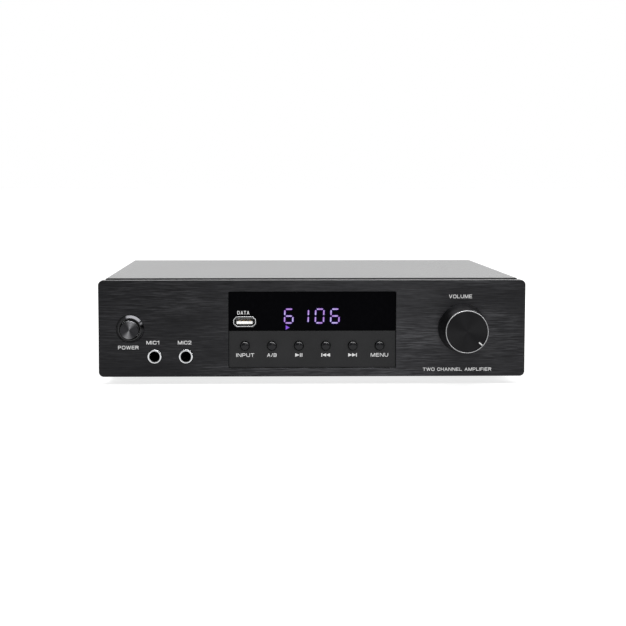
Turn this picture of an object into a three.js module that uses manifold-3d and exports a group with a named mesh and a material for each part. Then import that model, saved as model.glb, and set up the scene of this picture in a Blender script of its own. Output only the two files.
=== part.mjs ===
// Stereo receiver: a low, wide hi-fi amplifier with a thick aluminium front panel.
//
// Units are millimetres, +Z is up and the front panel faces -Y. Inside this file Y is measured
// rearwards from the panel's front face and Z upwards from the floor. The finished group is moved
// along Y so that its origin is the middle of the receiver's bounding box, at the floor.

import * as THREE from "three";
import { mergeVertices } from "three/addons/utils/BufferGeometryUtils.js";
import Module from "manifold-3d";

const wasm = await Module();
wasm.setup();

// --- Driving dimensions ----------------------------------------------------------------------

const GAP = 0.3; // air left between neighbouring pieces
const SHEET = 1; // steel sheet of the case

const PANEL = { width: 280, height: 63.5, thick: 8, corner: 3.3, bottom: 5 };
const PANEL_TOP = PANEL.bottom + PANEL.height;

const COVER = { width: 272.6, top: PANEL_TOP + 0.9, bottom: 6.8, rear: 190, bend: 1.6 };
const TRAY = { width: COVER.width - 2 * (SHEET + GAP), bottom: 6.5, flange: 14, rear: 187.2 };
const TRAY_FLOOR = TRAY.bottom + SHEET;
const FRONT_WALL = PANEL.thick + GAP; // front face of the tray's front wall
const REAR_PANEL = { front: 187.6, width: 269.4, bottom: 7.8, top: COVER.top - SHEET - GAP };
const REAR_FACE = REAR_PANEL.front + SHEET;

const VENT = { count: 14, pitch: 7.5, width: 3.2, low: 28, high: 52, first: 58 };
const FLOOR_VENT = { count: 9, pitch: 7, width: 3, length: 34, x: 47, y: 98 };

const FOOT = { radius: 11.2, tread: 10.2, height: TRAY.bottom - 0.2, x: 108, front: 52, rear: 162 };
const COVER_SCREW = { z: 14.5, front: 26, rear: 174, head: 3, headHigh: 1.8, shank: 1.45, long: 7 };

const WINDOW = { halfWidth: 55.3, bottom: 10.2, top: 61.4, corner: 0.8 };
const LENS_BOTTOM = 35.2; // where the display lens meets the key strip
const RECESS = 1; // how far the lens and the key strip sit behind the panel's face
const LENS_THICK = 2.5;
const BEZEL = { back: 5.3, rim: 12.9, wall: 1.6, margin: 0.5 };

const KEY = { count: 6, pitch: 17.7, z: 25.2, hole: 3.4, radius: 2.85, reach: 2.6, flange: 4.1 };
const KEY_NAMES = ["input", "speaker_ab", "play_pause", "previous", "next", "menu"];
const LED = { x: -0.8, z: 45.2, width: 40.4, height: 13.4 };
const BOARD = 1.6; // circuit board thickness
const FRONT_BOARD_Y = BEZEL.rim + GAP;

const PORT = { x: -44.4, z: 41.3, width: 13.1, height: 5.7, wall: 0.4, lip: [15.4, 7.7], front: 0.3 };

const POWER = { x: -119.3, z: 36.6, ring: 9.3, bore: 6.6, cap: 6.15, reach: 6.2, sleeve: 7.3 };
const SWITCH_REAR = 28; // rear of the power switch behind its button
const MIC = { x: [-103.4, -82.9], z: 18.5, ring: 4.85, sleeve: 4.5, bore: 3.2, deep: 31 };

const KNOB = { x: 98.5, z: 36.7, base: 15.8, face: 13.9, reach: 20, rear: 0.6, ring: [12.95, 13.75] };
const SHAFT = { radius: 3, tip: 14.3, bushing: 3.5, bushingTip: 2.5, nut: 5.75, nutHigh: 2.2 };

const MAIN_BOARD = { x: [-38, 130], y: [44, 172], z: 14 };
const TOROID = { x: -86, y: 104, outer: 41, inner: 15, bottom: 8.6, height: 34 };
const HEAT_SINK = { x: [40, 110], y: [88, 114], z: [16.2, 54], base: 6, fins: 10, fin: 1.8 };
const CAPACITOR = { x: 6, y: [84, 112], radius: 11, bottom: 16, height: 36 };

const INLET = { x: -108, z: 28, face: [28, 18], body: [21, 13], slot: [15.8, 8.4], rear: 172 };
const PIN = { pitch: 8.6, radius: 1.2, ends: [169, 188.5] };
const PHONO = { x: -50, z: 35, pitch: [14, 15], barrel: 4.1, hole: 1.65, reach: 197 };
const AERIAL = { x: -16, z: 46, barrel: 4.7, hole: 1.6, flange: 6.9 };
const CLIP = { x: 62, z: 38, columns: 4, rows: 2, pitch: [14, 17], pocket: [8.4, 9.4], deep: 9 };
const LEVER = { width: 7.6, pivotY: 184, pivotUp: 1.5 };

const REACH_FRONT = -KNOB.reach;
const REACH_REAR = PHONO.reach;

// --- Finishes --------------------------------------------------------------------------------

const finish = (color, roughness, metalness) =>
  new THREE.MeshStandardMaterial({ color, roughness, metalness });

const FINISH = {
  brushedBlack: finish(0x2c2c2e, 0.4, 0.9),
  paintedBlack: finish(0x151516, 0.45, 0.4),
  steel: finish(0xa9acad, 0.4, 0.9),
  chrome: finish(0xdadcde, 0.12, 1),
  brass: finish(0xc8a24a, 0.3, 1),
  blackPlastic: finish(0x18181a, 0.45, 0),
  glossPlastic: finish(0x0b0b0d, 0.15, 0),
  smokedAcrylic: finish(0x050506, 0.05, 0),
  whitePlastic: finish(0xf0f0ee, 0.4, 0),
  redPlastic: finish(0xb3161b, 0.35, 0),
  rubber: finish(0x101010, 0.85, 0),
  circuitBoard: finish(0x14532d, 0.5, 0),
  winding: finish(0x8c6a1f, 0.45, 0.2),
  sleeve: finish(0x1c2b46, 0.35, 0),
  ribbon: finish(0x8a8d90, 0.55, 0),
  aluminium: finish(0xb9bcbf, 0.35, 1),
};

// --- Helpers ---------------------------------------------------------------------------------

const point = (a, b) => new THREE.Vector2(a, b);

// A geometry as a manifold solid, with only positions kept and collapsed triangles dropped.
function toSolid(geometry) {
  const plain = geometry.clone();
  plain.deleteAttribute("normal");
  plain.deleteAttribute("uv");
  const merged = mergeVertices(plain);
  const source = merged.index.array;
  const triangles = [];
  for (let i = 0; i < source.length; i += 3) {
    const [a, b, c] = [source[i], source[i + 1], source[i + 2]];
    if (a !== b && b !== c && c !== a) triangles.push(a, b, c);
  }
  const vertProperties = merged.attributes.position.array;
  const triVerts = new Uint32Array(triangles);
  return new wasm.Manifold(new wasm.Mesh({ numProp: 3, vertProperties, triVerts }));
}

function toGeometry(solid) {
  const mesh = solid.getMesh();
  const geometry = new THREE.BufferGeometry();
  geometry.setAttribute("position", new THREE.BufferAttribute(mesh.vertProperties, 3));
  geometry.setIndex(new THREE.BufferAttribute(mesh.triVerts, 1));
  geometry.computeVertexNormals();
  return geometry;
}

const join = (...parts) => toGeometry(parts.map(toSolid).reduce((all, next) => all.add(next)));

const cut = (body, ...tools) =>
  toGeometry(tools.map(toSolid).reduce((left, tool) => left.subtract(tool), toSolid(body)));

// A box from its two ends along each axis.
function block([x0, x1], [y0, y1], [z0, z1]) {
  const box = new THREE.BoxGeometry(x1 - x0, y1 - y0, z1 - z0);
  return box.translate((x0 + x1) / 2, (y0 + y1) / 2, (z0 + z1) / 2);
}

const around = (middle, width) => [middle - width / 2, middle + width / 2];

// Round rods along Y and Z.
function rodY(radius, [y0, y1], x = 0, z = 0, sides = 24) {
  const rod = new THREE.CylinderGeometry(radius, radius, y1 - y0, sides);
  return rod.translate(x, (y0 + y1) / 2, z);
}

function rodZ(radius, [z0, z1], x = 0, y = 0, sides = 24) {
  const rod = new THREE.CylinderGeometry(radius, radius, z1 - z0, sides);
  return rod.rotateX(Math.PI / 2).translate(x, y, (z0 + z1) / 2);
}

// A body of revolution about Y from [radius, y] pairs, listed from front to rear on the outside.
const turnY = (profile, sides = 24) =>
  new THREE.LatheGeometry(profile.map(([radius, y]) => point(radius, y)), sides);

// The same about Z, from [radius, z] pairs listed from bottom to top on the outside.
const turnZ = (profile, sides = 24) => turnY(profile, sides).rotateX(Math.PI / 2);

// Prisms: the outline is drawn in XZ, XY or YZ and runs along the remaining axis.
const extrude = (shape, depth) => new THREE.ExtrudeGeometry(shape, { depth, bevelEnabled: false });

const prismY = (shape, [y0, y1]) =>
  extrude(shape, y1 - y0).rotateX(Math.PI / 2).translate(0, y1, 0);

const prismZ = (shape, [z0, z1]) => extrude(shape, z1 - z0).translate(0, 0, z0);

function prismX(shape, [x0, x1]) {
  const axes = [point(1, 0), point(0, 1)].map(({ x, y }) => new THREE.Vector3(0, x, y));
  const turn = new THREE.Matrix4().makeBasis(...axes, new THREE.Vector3(1, 0, 0));
  return extrude(shape, x1 - x0).applyMatrix4(turn).translate(x0, 0, 0);
}

// A rectangle with round corners, as an outline or a hole.
function roundedRectangle([x0, x1], [y0, y1], radius, steps = 5) {
  const corners = [
    [x1 - radius, y0 + radius, -0.5],
    [x1 - radius, y1 - radius, 0],
    [x0 + radius, y1 - radius, 0.5],
    [x0 + radius, y0 + radius, 1],
  ];
  const points = [];
  for (const [cx, cy, start] of corners) {
    for (let i = 0; i <= steps; i++) {
      const angle = (start + (0.5 * i) / steps) * Math.PI;
      points.push(point(cx + radius * Math.cos(angle), cy + radius * Math.sin(angle)));
    }
  }
  return new THREE.Shape(points);
}

function polygon(cx, cy, radius, sides, turn = 0) {
  const points = [];
  for (let i = 0; i < sides; i++) {
    const angle = turn + (2 * Math.PI * i) / sides;
    points.push(point(cx + radius * Math.cos(angle), cy + radius * Math.sin(angle)));
  }
  return new THREE.Shape(points);
}

// A slot with half-round ends, as wide and as high as given.
const slot = (cx, cy, wide, high) =>
  roundedRectangle(around(cx, wide), around(cy, high), Math.min(wide, high) / 2 - 0.01, 4);

// A rectangle whose corners are cut off straight.
function cutCornerRectangle(cx, cy, [width, height], corner) {
  const [x, y] = [width / 2, height / 2];
  const points = [
    [x, corner - y],
    [x, y - corner],
    [x - corner, y],
    [corner - x, y],
    [-x, y - corner],
    [-x, corner - y],
    [corner - x, -y],
    [x - corner, -y],
  ];
  return new THREE.Shape(points.map(([a, b]) => point(cx + a, cy + b)));
}

// A round cable along a smooth curve through the given points.
function cable(points, radius, steps, sides = 8) {
  const path = new THREE.CatmullRomCurve3(points.map((p) => new THREE.Vector3(...p)));
  const section = polygon(0, 0, radius, sides);
  return new THREE.ExtrudeGeometry(section, { steps, extrudePath: path, bevelEnabled: false });
}

function add(group, name, geometry, material, position = [0, 0, 0]) {
  const mesh = new THREE.Mesh(geometry, material);
  mesh.name = name;
  mesh.position.set(...position);
  group.add(mesh);
  return mesh;
}

// --- Front panel and what it carries -----------------------------------------------------------

function frontPanel() {
  const outline = roundedRectangle(
    around(0, PANEL.width),
    [PANEL.bottom, PANEL_TOP],
    PANEL.corner,
  );
  outline.holes.push(
    roundedRectangle(
      [-WINDOW.halfWidth, WINDOW.halfWidth],
      [WINDOW.bottom, WINDOW.top],
      WINDOW.corner,
      2,
    ),
    polygon(POWER.x, POWER.z, POWER.sleeve + 0.2, 28),
    ...MIC.x.map((x) => polygon(x, MIC.z, MIC.sleeve + 0.15, 20)),
    polygon(KNOB.x, KNOB.z, 7, 24),
  );
  return prismY(outline, [0, PANEL.thick]);
}

const keyX = (index) => (index - (KEY.count - 1) / 2) * KEY.pitch;

// One moulding: the key strip in front, a ledge that the lens sits on, and a rim to the board.
function controlBezel() {
  const half = WINDOW.halfWidth - BEZEL.margin;
  const [low, high] = [WINDOW.bottom + BEZEL.margin, WINDOW.top - BEZEL.margin];
  const strip = block([-half, half], [RECESS, BEZEL.back], [low, LENS_BOTTOM - 0.1]);
  const ledge = block([-half, half], [RECESS + LENS_THICK + GAP, BEZEL.back], [low, high]);
  const rim = cut(
    block([-half, half], [BEZEL.back - 0.5, BEZEL.rim], [low, high]),
    block(
      [BEZEL.wall - half, half - BEZEL.wall],
      [BEZEL.back - 1, BEZEL.rim + 1],
      [low + BEZEL.wall, high - BEZEL.wall],
    ),
  );
  const through = [-1, BEZEL.rim];
  const keyHoles = KEY_NAMES.map((_, i) => rodY(KEY.hole, through, keyX(i), KEY.z, 20));
  const displayHole = block(around(LED.x, LED.width + 1), through, around(LED.z, LED.height + 1));
  const portHole = block(around(PORT.x, PORT.width + 1), through, around(PORT.z, PORT.height + 1));
  return cut(join(strip, ledge, rim), ...keyHoles, displayHole, portHole);
}

function displayLens() {
  const half = WINDOW.halfWidth - BEZEL.margin;
  const outline = roundedRectangle(
    [-half, half],
    [LENS_BOTTOM + 0.1, WINDOW.top - BEZEL.margin],
    0.5,
    1,
  );
  outline.holes.push(cutCornerRectangle(PORT.x, PORT.z, [PORT.width + 0.8, PORT.height + 0.8], 0.6));
  return prismY(outline, [RECESS, RECESS + LENS_THICK]);
}

const ledDisplay = () =>
  block(
    around(LED.x, LED.width),
    [RECESS + LENS_THICK + GAP, FRONT_BOARD_Y - GAP],
    around(LED.z, LED.height),
  );

function frontBoard() {
  const outline = roundedRectangle([-54, 54], [11.5, 60.5], 1, 1);
  return prismY(outline, [FRONT_BOARD_Y, FRONT_BOARD_Y + BOARD]);
}

// A round key with an eased front edge, a retaining flange and a stem. Its own origin is on its
// axis at the key strip's face.
function key() {
  const ease = 0.9;
  const stemEnd = 7.8;
  return turnY(
    [
      [0, -KEY.reach],
      [KEY.radius - ease, -KEY.reach],
      [KEY.radius - 0.3 * ease, 0.3 * ease - KEY.reach],
      [KEY.radius, ease - KEY.reach],
      [KEY.radius, 4.7],
      [KEY.flange, 4.7],
      [KEY.flange, 5.7],
      [1.6, 5.7],
      [1.6, stemEnd],
      [0, stemEnd],
    ],
    16,
  );
}

function portShell() {
  const length = FRONT_BOARD_Y - GAP - PORT.front;
  const inner = [PORT.width - 2 * PORT.wall, PORT.height - 2 * PORT.wall];
  const lip = prismY(cutCornerRectangle(0, 0, PORT.lip, 1.6), [0, 0.5]);
  const tube = block(around(0, PORT.width), [0, length], around(0, PORT.height));
  return cut(join(lip, tube), block(around(0, inner[0]), [-1, length + 1], around(0, inner[1])));
}

// The insulator: a plug that closes the shell's rear and a tongue towards the opening.
function portTongue() {
  const plug = block(around(0, 11.9), [10.6, 12.4], around(0, 4.5));
  const tongue = block(around(0, 11.1), [1.6, 11], around(-0.45, 1.9));
  return join(plug, tongue);
}

// A raised ring with a domed top, and a sleeve through the panel.
function powerBezel() {
  const crown = [1.7, 2.3, 2.1, 1.2];
  const steps = crown.map((height, i) => [POWER.bore + 0.5 + (i * 2.1) / 3, -height]);
  return turnY(
    [
      [POWER.bore, 7],
      [POWER.bore, -0.9],
      ...steps,
      [POWER.ring, -0.05],
      [POWER.sleeve, -0.05],
      [POWER.sleeve, 7],
      [POWER.bore, 7],
    ],
    28,
  );
}

// The push cap with its square stem.
function powerButton() {
  const ease = 0.5;
  const cap = turnY(
    [
      [0, -POWER.reach],
      [POWER.cap - ease, -POWER.reach],
      [POWER.cap, ease - POWER.reach],
      [POWER.cap, 4],
      [0, 4],
    ],
    28,
  );
  return join(cap, block(around(0, 3.6), [3, 14], around(0, 3.6)));
}

function powerSwitch() {
  const body = block(around(0, 14), [FRONT_WALL + SHEET + GAP, SWITCH_REAR], around(0, 14));
  return cut(body, block(around(0, 4.4), [5, 18.5], around(0, 4.4)));
}

function micBushing() {
  return turnY(
    [
      [MIC.bore, 9.3],
      [MIC.bore, -0.7],
      [MIC.bore + 0.4, -1.1],
      [MIC.ring - 0.4, -1.1],
      [MIC.ring, -0.7],
      [MIC.ring, -0.05],
      [MIC.sleeve, -0.05],
      [MIC.sleeve, 9.3],
      [MIC.bore, 9.3],
    ],
    20,
  );
}

function micJack() {
  const front = FRONT_WALL + SHEET + GAP;
  const body = block(around(0, 13), [front, 34], around(0, 14));
  return cut(body, rodY(MIC.bore, [5, MIC.deep], 0, 0, 20));
}

// A hollow knob: solid nose, thin skirt, and a boss bored for the shaft.
function volumeKnob() {
  const nose = KNOB.reach - 0.4;
  return turnY(
    [
      [0, -nose],
      [KNOB.ring[0] - 0.1, -nose],
      [KNOB.ring[0] - 0.1, 0.6 - nose],
      [KNOB.face - 0.1, 0.6 - nose],
      [KNOB.face, 1 - nose],
      [KNOB.base, -KNOB.rear - 1.2],
      [KNOB.base, -KNOB.rear],
      [KNOB.base - 2.2, -KNOB.rear],
      [KNOB.face - 2.2, -15.4],
      [5, -15.4],
      [5, -1.6],
      [SHAFT.radius + 0.1, -1.6],
      [SHAFT.radius + 0.1, -SHAFT.tip - 0.3],
      [0, -SHAFT.tip - 0.3],
    ],
    36,
  );
}

function knobTrimRing() {
  const [inner, outer] = KNOB.ring;
  const [front, rear] = [-KNOB.reach, 0.9 - KNOB.reach];
  return turnY(
    [
      [inner, rear],
      [inner, front],
      [outer, front],
      [outer, rear],
      [inner, rear],
    ],
    36,
  );
}

const encoderShaft = () => rodY(SHAFT.radius, [-SHAFT.tip, 14], 0, 0, 20);

function encoderBody() {
  const front = FRONT_WALL + SHEET + GAP;
  const box = block(around(0, 13), [front, 17], around(0, 13.5));
  const bushing = rodY(SHAFT.bushing, [SHAFT.bushingTip, front + 1], 0, 0, 20);
  return cut(join(box, bushing), rodY(SHAFT.radius + 0.1, [0, 14.5], 0, 0, 20));
}

function encoderNut() {
  const outline = polygon(0, 0, SHAFT.nut, 6);
  outline.holes.push(polygon(0, 0, SHAFT.bushing + 0.1, 20));
  return prismY(outline, [FRONT_WALL - 0.1 - SHAFT.nutHigh, FRONT_WALL - 0.1]);
}

// --- Case --------------------------------------------------------------------------------------

const standoffs = () => {
  const [x0, x1] = MAIN_BOARD.x;
  const [y0, y1] = MAIN_BOARD.y;
  const corners = [x0 + 6, x1 - 6].flatMap((x) => [y0 + 6, y1 - 6].map((y) => [x, y]));
  return corners.map(([x, y]) => rodZ(3, [TRAY_FLOOR - 0.5, MAIN_BOARD.z - GAP], x, y, 10));
};

const sideScrews = () => [
  ["front_left", -1, COVER_SCREW.front],
  ["rear_left", -1, COVER_SCREW.rear],
  ["front_right", 1, COVER_SCREW.front],
  ["rear_right", 1, COVER_SCREW.rear],
];

// Holes for the side screws, bored through both sides at once.
function sideScrewHoles(radius) {
  const reach = [-COVER.width, COVER.width];
  return [COVER_SCREW.front, COVER_SCREW.rear].map((y) =>
    prismX(polygon(y, COVER_SCREW.z, radius, 12), reach),
  );
}

// Floor, front wall and side flanges folded from one sheet, with standoffs for the main board.
function chassisTray() {
  const half = TRAY.width / 2;
  const rear = TRAY.rear;
  const floor = block([-half, half], [FRONT_WALL, rear], [TRAY.bottom, TRAY_FLOOR]);
  const wallTop = COVER.top - SHEET - GAP;
  const frontWall = block([-half, half], [FRONT_WALL, FRONT_WALL + SHEET], [TRAY.bottom, wallTop]);
  const flangeHigh = [TRAY.bottom, TRAY_FLOOR + TRAY.flange];
  const flanges = [
    block([-half, SHEET - half], [FRONT_WALL, rear], flangeHigh),
    block([half - SHEET, half], [FRONT_WALL, rear], flangeHigh),
  ];
  const through = [FRONT_WALL - 1, FRONT_WALL + SHEET + 1];
  const window = block(
    [-WINDOW.halfWidth, WINDOW.halfWidth],
    through,
    [WINDOW.bottom, WINDOW.top],
  );
  const openings = [
    window,
    rodY(4, through, POWER.x, POWER.z, 16),
    ...MIC.x.map((x) => rodY(MIC.sleeve + 0.15, through, x, MIC.z, 20)),
    rodY(SHAFT.bushing + 0.15, through, KNOB.x, KNOB.z, 20),
  ];
  const footX = [-FOOT.x, FOOT.x];
  const footHoles = footX.flatMap((x) =>
    [FOOT.front, FOOT.rear].map((y) => rodZ(1.8, [0, 10], x, y, 10)),
  );
  const vents = [];
  for (let i = 0; i < FLOOR_VENT.count; i++) {
    const x = FLOOR_VENT.x + i * FLOOR_VENT.pitch;
    vents.push(prismZ(slot(x, FLOOR_VENT.y, FLOOR_VENT.width, FLOOR_VENT.length), [5, 9]));
  }
  const body = join(floor, frontWall, ...flanges, ...standoffs());
  return cut(body, ...openings, ...footHoles, ...vents, ...sideScrewHoles(1.55));
}

// Top and both sides folded from one sheet, with vents in the sides.
function topCover() {
  const half = COVER.width / 2;
  const outer = COVER.bend;
  const inner = COVER.bend - SHEET;
  const points = [point(-half, COVER.bottom)];
  const bend = (cx, radius, start, turn) => {
    for (let i = 0; i <= 4; i++) {
      const angle = start + (turn * i * Math.PI) / 8;
      const centre = COVER.top - COVER.bend;
      points.push(point(cx + radius * Math.cos(angle), centre + radius * Math.sin(angle)));
    }
  };
  bend(outer - half, outer, Math.PI, -1);
  bend(half - outer, outer, Math.PI / 2, -1);
  points.push(point(half, COVER.bottom), point(half - SHEET, COVER.bottom));
  bend(half - outer, inner, 0, 1);
  bend(outer - half, inner, Math.PI / 2, 1);
  points.push(point(SHEET - half, COVER.bottom));
  const shell = prismY(new THREE.Shape(points), [FRONT_WALL, COVER.rear]);
  const vents = [];
  for (let i = 0; i < VENT.count; i++) {
    const y = VENT.first + i * VENT.pitch;
    vents.push(block([-COVER.width, COVER.width], around(y, VENT.width), [VENT.low, VENT.high]));
  }
  return cut(shell, ...vents, ...sideScrewHoles(1.7));
}

function rearPanel() {
  const half = REAR_PANEL.width / 2;
  const outline = roundedRectangle([-half, half], [REAR_PANEL.bottom, REAR_PANEL.top], 0.8, 1);
  const [clipWide, clipHigh] = clipBody();
  outline.holes.push(
    roundedRectangle(
      around(INLET.x, INLET.body[0] + 0.6),
      around(INLET.z, INLET.body[1] + 0.6),
      0.5,
      1,
    ),
    ...phonoCentres().map(([x, z]) => polygon(x, z, PHONO.barrel + 0.4, 20)),
    polygon(AERIAL.x, AERIAL.z, AERIAL.barrel + 0.3, 20),
    roundedRectangle(around(CLIP.x, clipWide + 0.6), around(CLIP.z, clipHigh + 0.6), 0.5, 1),
  );
  return prismY(outline, [REAR_PANEL.front, REAR_FACE]);
}

// A moulded foot, hollow below for its screw. Its own origin is on its axis at the floor.
function foot() {
  return turnZ(
    [
      [1.9, 3],
      [5, 3],
      [5, 0],
      [FOOT.tread, 0],
      [FOOT.tread + 0.6, 0.8],
      [FOOT.radius, FOOT.height],
      [1.9, FOOT.height],
      [1.9, 3],
    ],
    20,
  );
}

// A pan-head screw along X whose head faces +X. Its own origin is where the head meets the cover.
function coverScrew() {
  const { head, headHigh, shank, long } = COVER_SCREW;
  return turnY(
    [
      [0, -headHigh],
      [head * 0.7, -headHigh],
      [head, -headHigh * 0.35],
      [head, -0.05],
      [shank, -0.05],
      [shank, long],
      [0, long],
    ],
    12,
  ).rotateZ(Math.PI / 2);
}

// --- Electronics -------------------------------------------------------------------------------

function mainBoard() {
  const outline = roundedRectangle(MAIN_BOARD.x, MAIN_BOARD.y, 1.5, 2);
  return prismZ(outline, [MAIN_BOARD.z, MAIN_BOARD.z + BOARD]);
}

function powerTransformer() {
  const { outer, inner, bottom, height } = TOROID;
  const top = bottom + height;
  const round = 7;
  return turnZ(
    [
      [inner, bottom + 3],
      [inner + 2, bottom],
      [outer - round, bottom],
      [outer - 2, bottom + 2],
      [outer, bottom + round],
      [outer, top - round],
      [outer - 2, top - 2],
      [outer - round, top],
      [inner + 2, top],
      [inner, top - 3],
      [inner, bottom + 3],
    ],
    28,
  );
}

function transformerBolt() {
  const top = TOROID.bottom + TOROID.height + GAP;
  const washer = rodZ(TOROID.inner + 5, [top, top + 1.5], 0, 0, 20);
  const head = prismZ(polygon(0, 0, 5.8, 6), [top + 1, top + 5.5]);
  return join(washer, head, rodZ(3, [TRAY_FLOOR + GAP, top + 1], 0, 0, 12));
}

// A comb of upright fins on a base plate.
function heatSink() {
  const { x, y, z, base, fins, fin } = HEAT_SINK;
  const pitch = (x[1] - x[0] - fin) / (fins - 1);
  const points = [point(x[1], y[0]), point(x[1], y[1])];
  for (let i = fins - 1; i > 0; i--) {
    const left = x[0] + i * pitch;
    points.push(point(left, y[1]), point(left, y[0] + base));
    points.push(point(left - pitch + fin, y[0] + base), point(left - pitch + fin, y[1]));
  }
  points.push(point(x[0], y[1]), point(x[0], y[0]));
  return prismZ(new THREE.Shape(points), z);
}

function amplifierChip() {
  const rear = HEAT_SINK.y[0] - GAP;
  return block(around(75, 20), [rear - 4.6, rear], [21, 34]);
}

function filterCapacitor() {
  const { radius, bottom, height } = CAPACITOR;
  return turnZ(
    [
      [0, bottom],
      [radius - 0.8, bottom],
      [radius, bottom + 0.8],
      [radius, bottom + height - 0.8],
      [radius - 0.8, bottom + height],
      [0, bottom + height],
    ],
    20,
  );
}

const tunerModule = () =>
  block([-34, 2], [140, 168], [MAIN_BOARD.z + BOARD + GAP, MAIN_BOARD.z + BOARD + 9.5]);

// A flat cable from the rear of the front board down to the main board, 20 mm wide.
function ribbonCable() {
  const [thick, steps] = [1, 10];
  const curve = new THREE.CubicBezierCurve(point(15.2, 33), point(34, 33), point(50, 36), point(50, 16.2));
  const sides = [[], []];
  for (let i = 0; i <= steps; i++) {
    const middle = curve.getPoint(i / steps);
    const along = curve.getTangent(i / steps);
    const across = point(-along.y, along.x).multiplyScalar(thick / 2);
    sides[0].push(middle.clone().add(across));
    sides[1].unshift(middle.clone().sub(across));
  }
  return prismX(new THREE.Shape([...sides[1], ...sides[0]]), around(-12, 20));
}

// The lead from the mains inlet to the power switch, along the left side of the tray.
function mainsLead() {
  const route = [
    [INLET.x, INLET.rear - GAP, INLET.z],
    [INLET.x, 164, INLET.z],
    [-110, 156, 26],
    [-122, 146, 16],
    [-130, 130, 12],
    [-131, 90, 11],
    [-131, 55, 12],
    [-127, 40, 22],
    [-120.5, 36, 33],
    [POWER.x, 31.5, POWER.z],
    [POWER.x, SWITCH_REAR + 0.5, POWER.z],
  ];
  return cable(route, 2.2, 32);
}

// --- Rear sockets ------------------------------------------------------------------------------

const pinPositions = () => [-0.5, 0.5].map((side) => side * PIN.pitch);

// A two-pole mains inlet: a flange outside, a body inside and a slot with two pins.
function mainsInlet() {
  const flange = prismY(
    roundedRectangle(around(0, INLET.face[0]), around(0, INLET.face[1]), 2, 2),
    [REAR_FACE + 0.1, REAR_FACE + 2.1],
  );
  const body = block(around(0, INLET.body[0]), [INLET.rear, REAR_FACE + 0.5], around(0, INLET.body[1]));
  const opening = prismY(slot(0, 0, ...INLET.slot), [178, 195]);
  const pinHoles = pinPositions().map((x) => rodY(PIN.radius + 0.15, [170, 180], x, 0, 12));
  return cut(join(flange, body), opening, ...pinHoles);
}

const inletPin = () => rodY(PIN.radius, PIN.ends, 0, 0, 12);

function phonoCentres() {
  const across = around(PHONO.x, PHONO.pitch[0]);
  const up = around(PHONO.z, PHONO.pitch[1]);
  return across.flatMap((x) => up.map((z) => [x, z]));
}

// Four coaxial sockets on one moulding behind the rear panel.
function phonoSockets() {
  const housing = block(
    around(PHONO.x, PHONO.pitch[0] + 12),
    [175, REAR_PANEL.front - GAP],
    around(PHONO.z, PHONO.pitch[1] + 12),
  );
  const barrels = phonoCentres().map(([x, z]) => rodY(PHONO.barrel, [180, PHONO.reach], x, z, 16));
  const holes = phonoCentres().map(([x, z]) => rodY(PHONO.hole, [189, 200], x, z, 10));
  return cut(join(housing, ...barrels), ...holes);
}

// A screw-on aerial socket with a hexagonal flange.
function aerialSocket() {
  const housing = block(around(0, 13), [176, REAR_PANEL.front - GAP], around(0, 13));
  const barrel = rodY(AERIAL.barrel, [185, PHONO.reach - 0.5], 0, 0, 20);
  const flange = prismY(polygon(0, 0, AERIAL.flange, 6), [REAR_FACE + 0.1, REAR_FACE + 2.3]);
  return cut(join(housing, barrel, flange), rodY(AERIAL.hole, [188, 200], 0, 0, 10));
}

const clipBody = () => [
  CLIP.columns * CLIP.pitch[0] + 1,
  CLIP.rows * CLIP.pitch[1] + 1,
];

function clipCentres() {
  const centres = [];
  for (let row = 0; row < CLIP.rows; row++) {
    for (let column = 0; column < CLIP.columns; column++) {
      centres.push([
        CLIP.x + (column - (CLIP.columns - 1) / 2) * CLIP.pitch[0],
        CLIP.z + (row - (CLIP.rows - 1) / 2) * CLIP.pitch[1] + 2,
      ]);
    }
  }
  return centres;
}

// The loudspeaker terminal block: a pocket for each lever and a wire hole below it.
function speakerTerminals() {
  const [wide, high] = clipBody();
  const face = REAR_FACE + 2.3;
  const flange = prismY(
    roundedRectangle(around(CLIP.x, wide + 8), around(CLIP.z, high + 3), 1.5, 2),
    [REAR_FACE + 0.1, face],
  );
  const body = block(around(CLIP.x, wide), [177, REAR_FACE + 0.5], around(CLIP.z, high));
  const tools = clipCentres().flatMap(([x, z]) => [
    block(around(x, CLIP.pocket[0]), [face - CLIP.deep, face + 1], around(z, CLIP.pocket[1])),
    block(around(x, 3.4), [face - CLIP.deep, face + 1], around(z - 7.2, 3.4)),
  ]);
  return cut(join(flange, body), ...tools);
}

// A spring lever, drawn in YZ about its pivot: a heel inside the pocket and a tab outside it.
function speakerLever() {
  const profile = [
    [-1, -2],
    [6.2, -2],
    [7.2, -0.6],
    [12.4, 0.9],
    [12.4, 2.2],
    [11.6, 2.7],
    [-1, 2.7],
  ];
  const outline = new THREE.Shape(profile.map(([y, z]) => point(y, z)));
  return prismX(outline, around(0, LEVER.width));
}

// --- Assembly ----------------------------------------------------------------------------------

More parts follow.
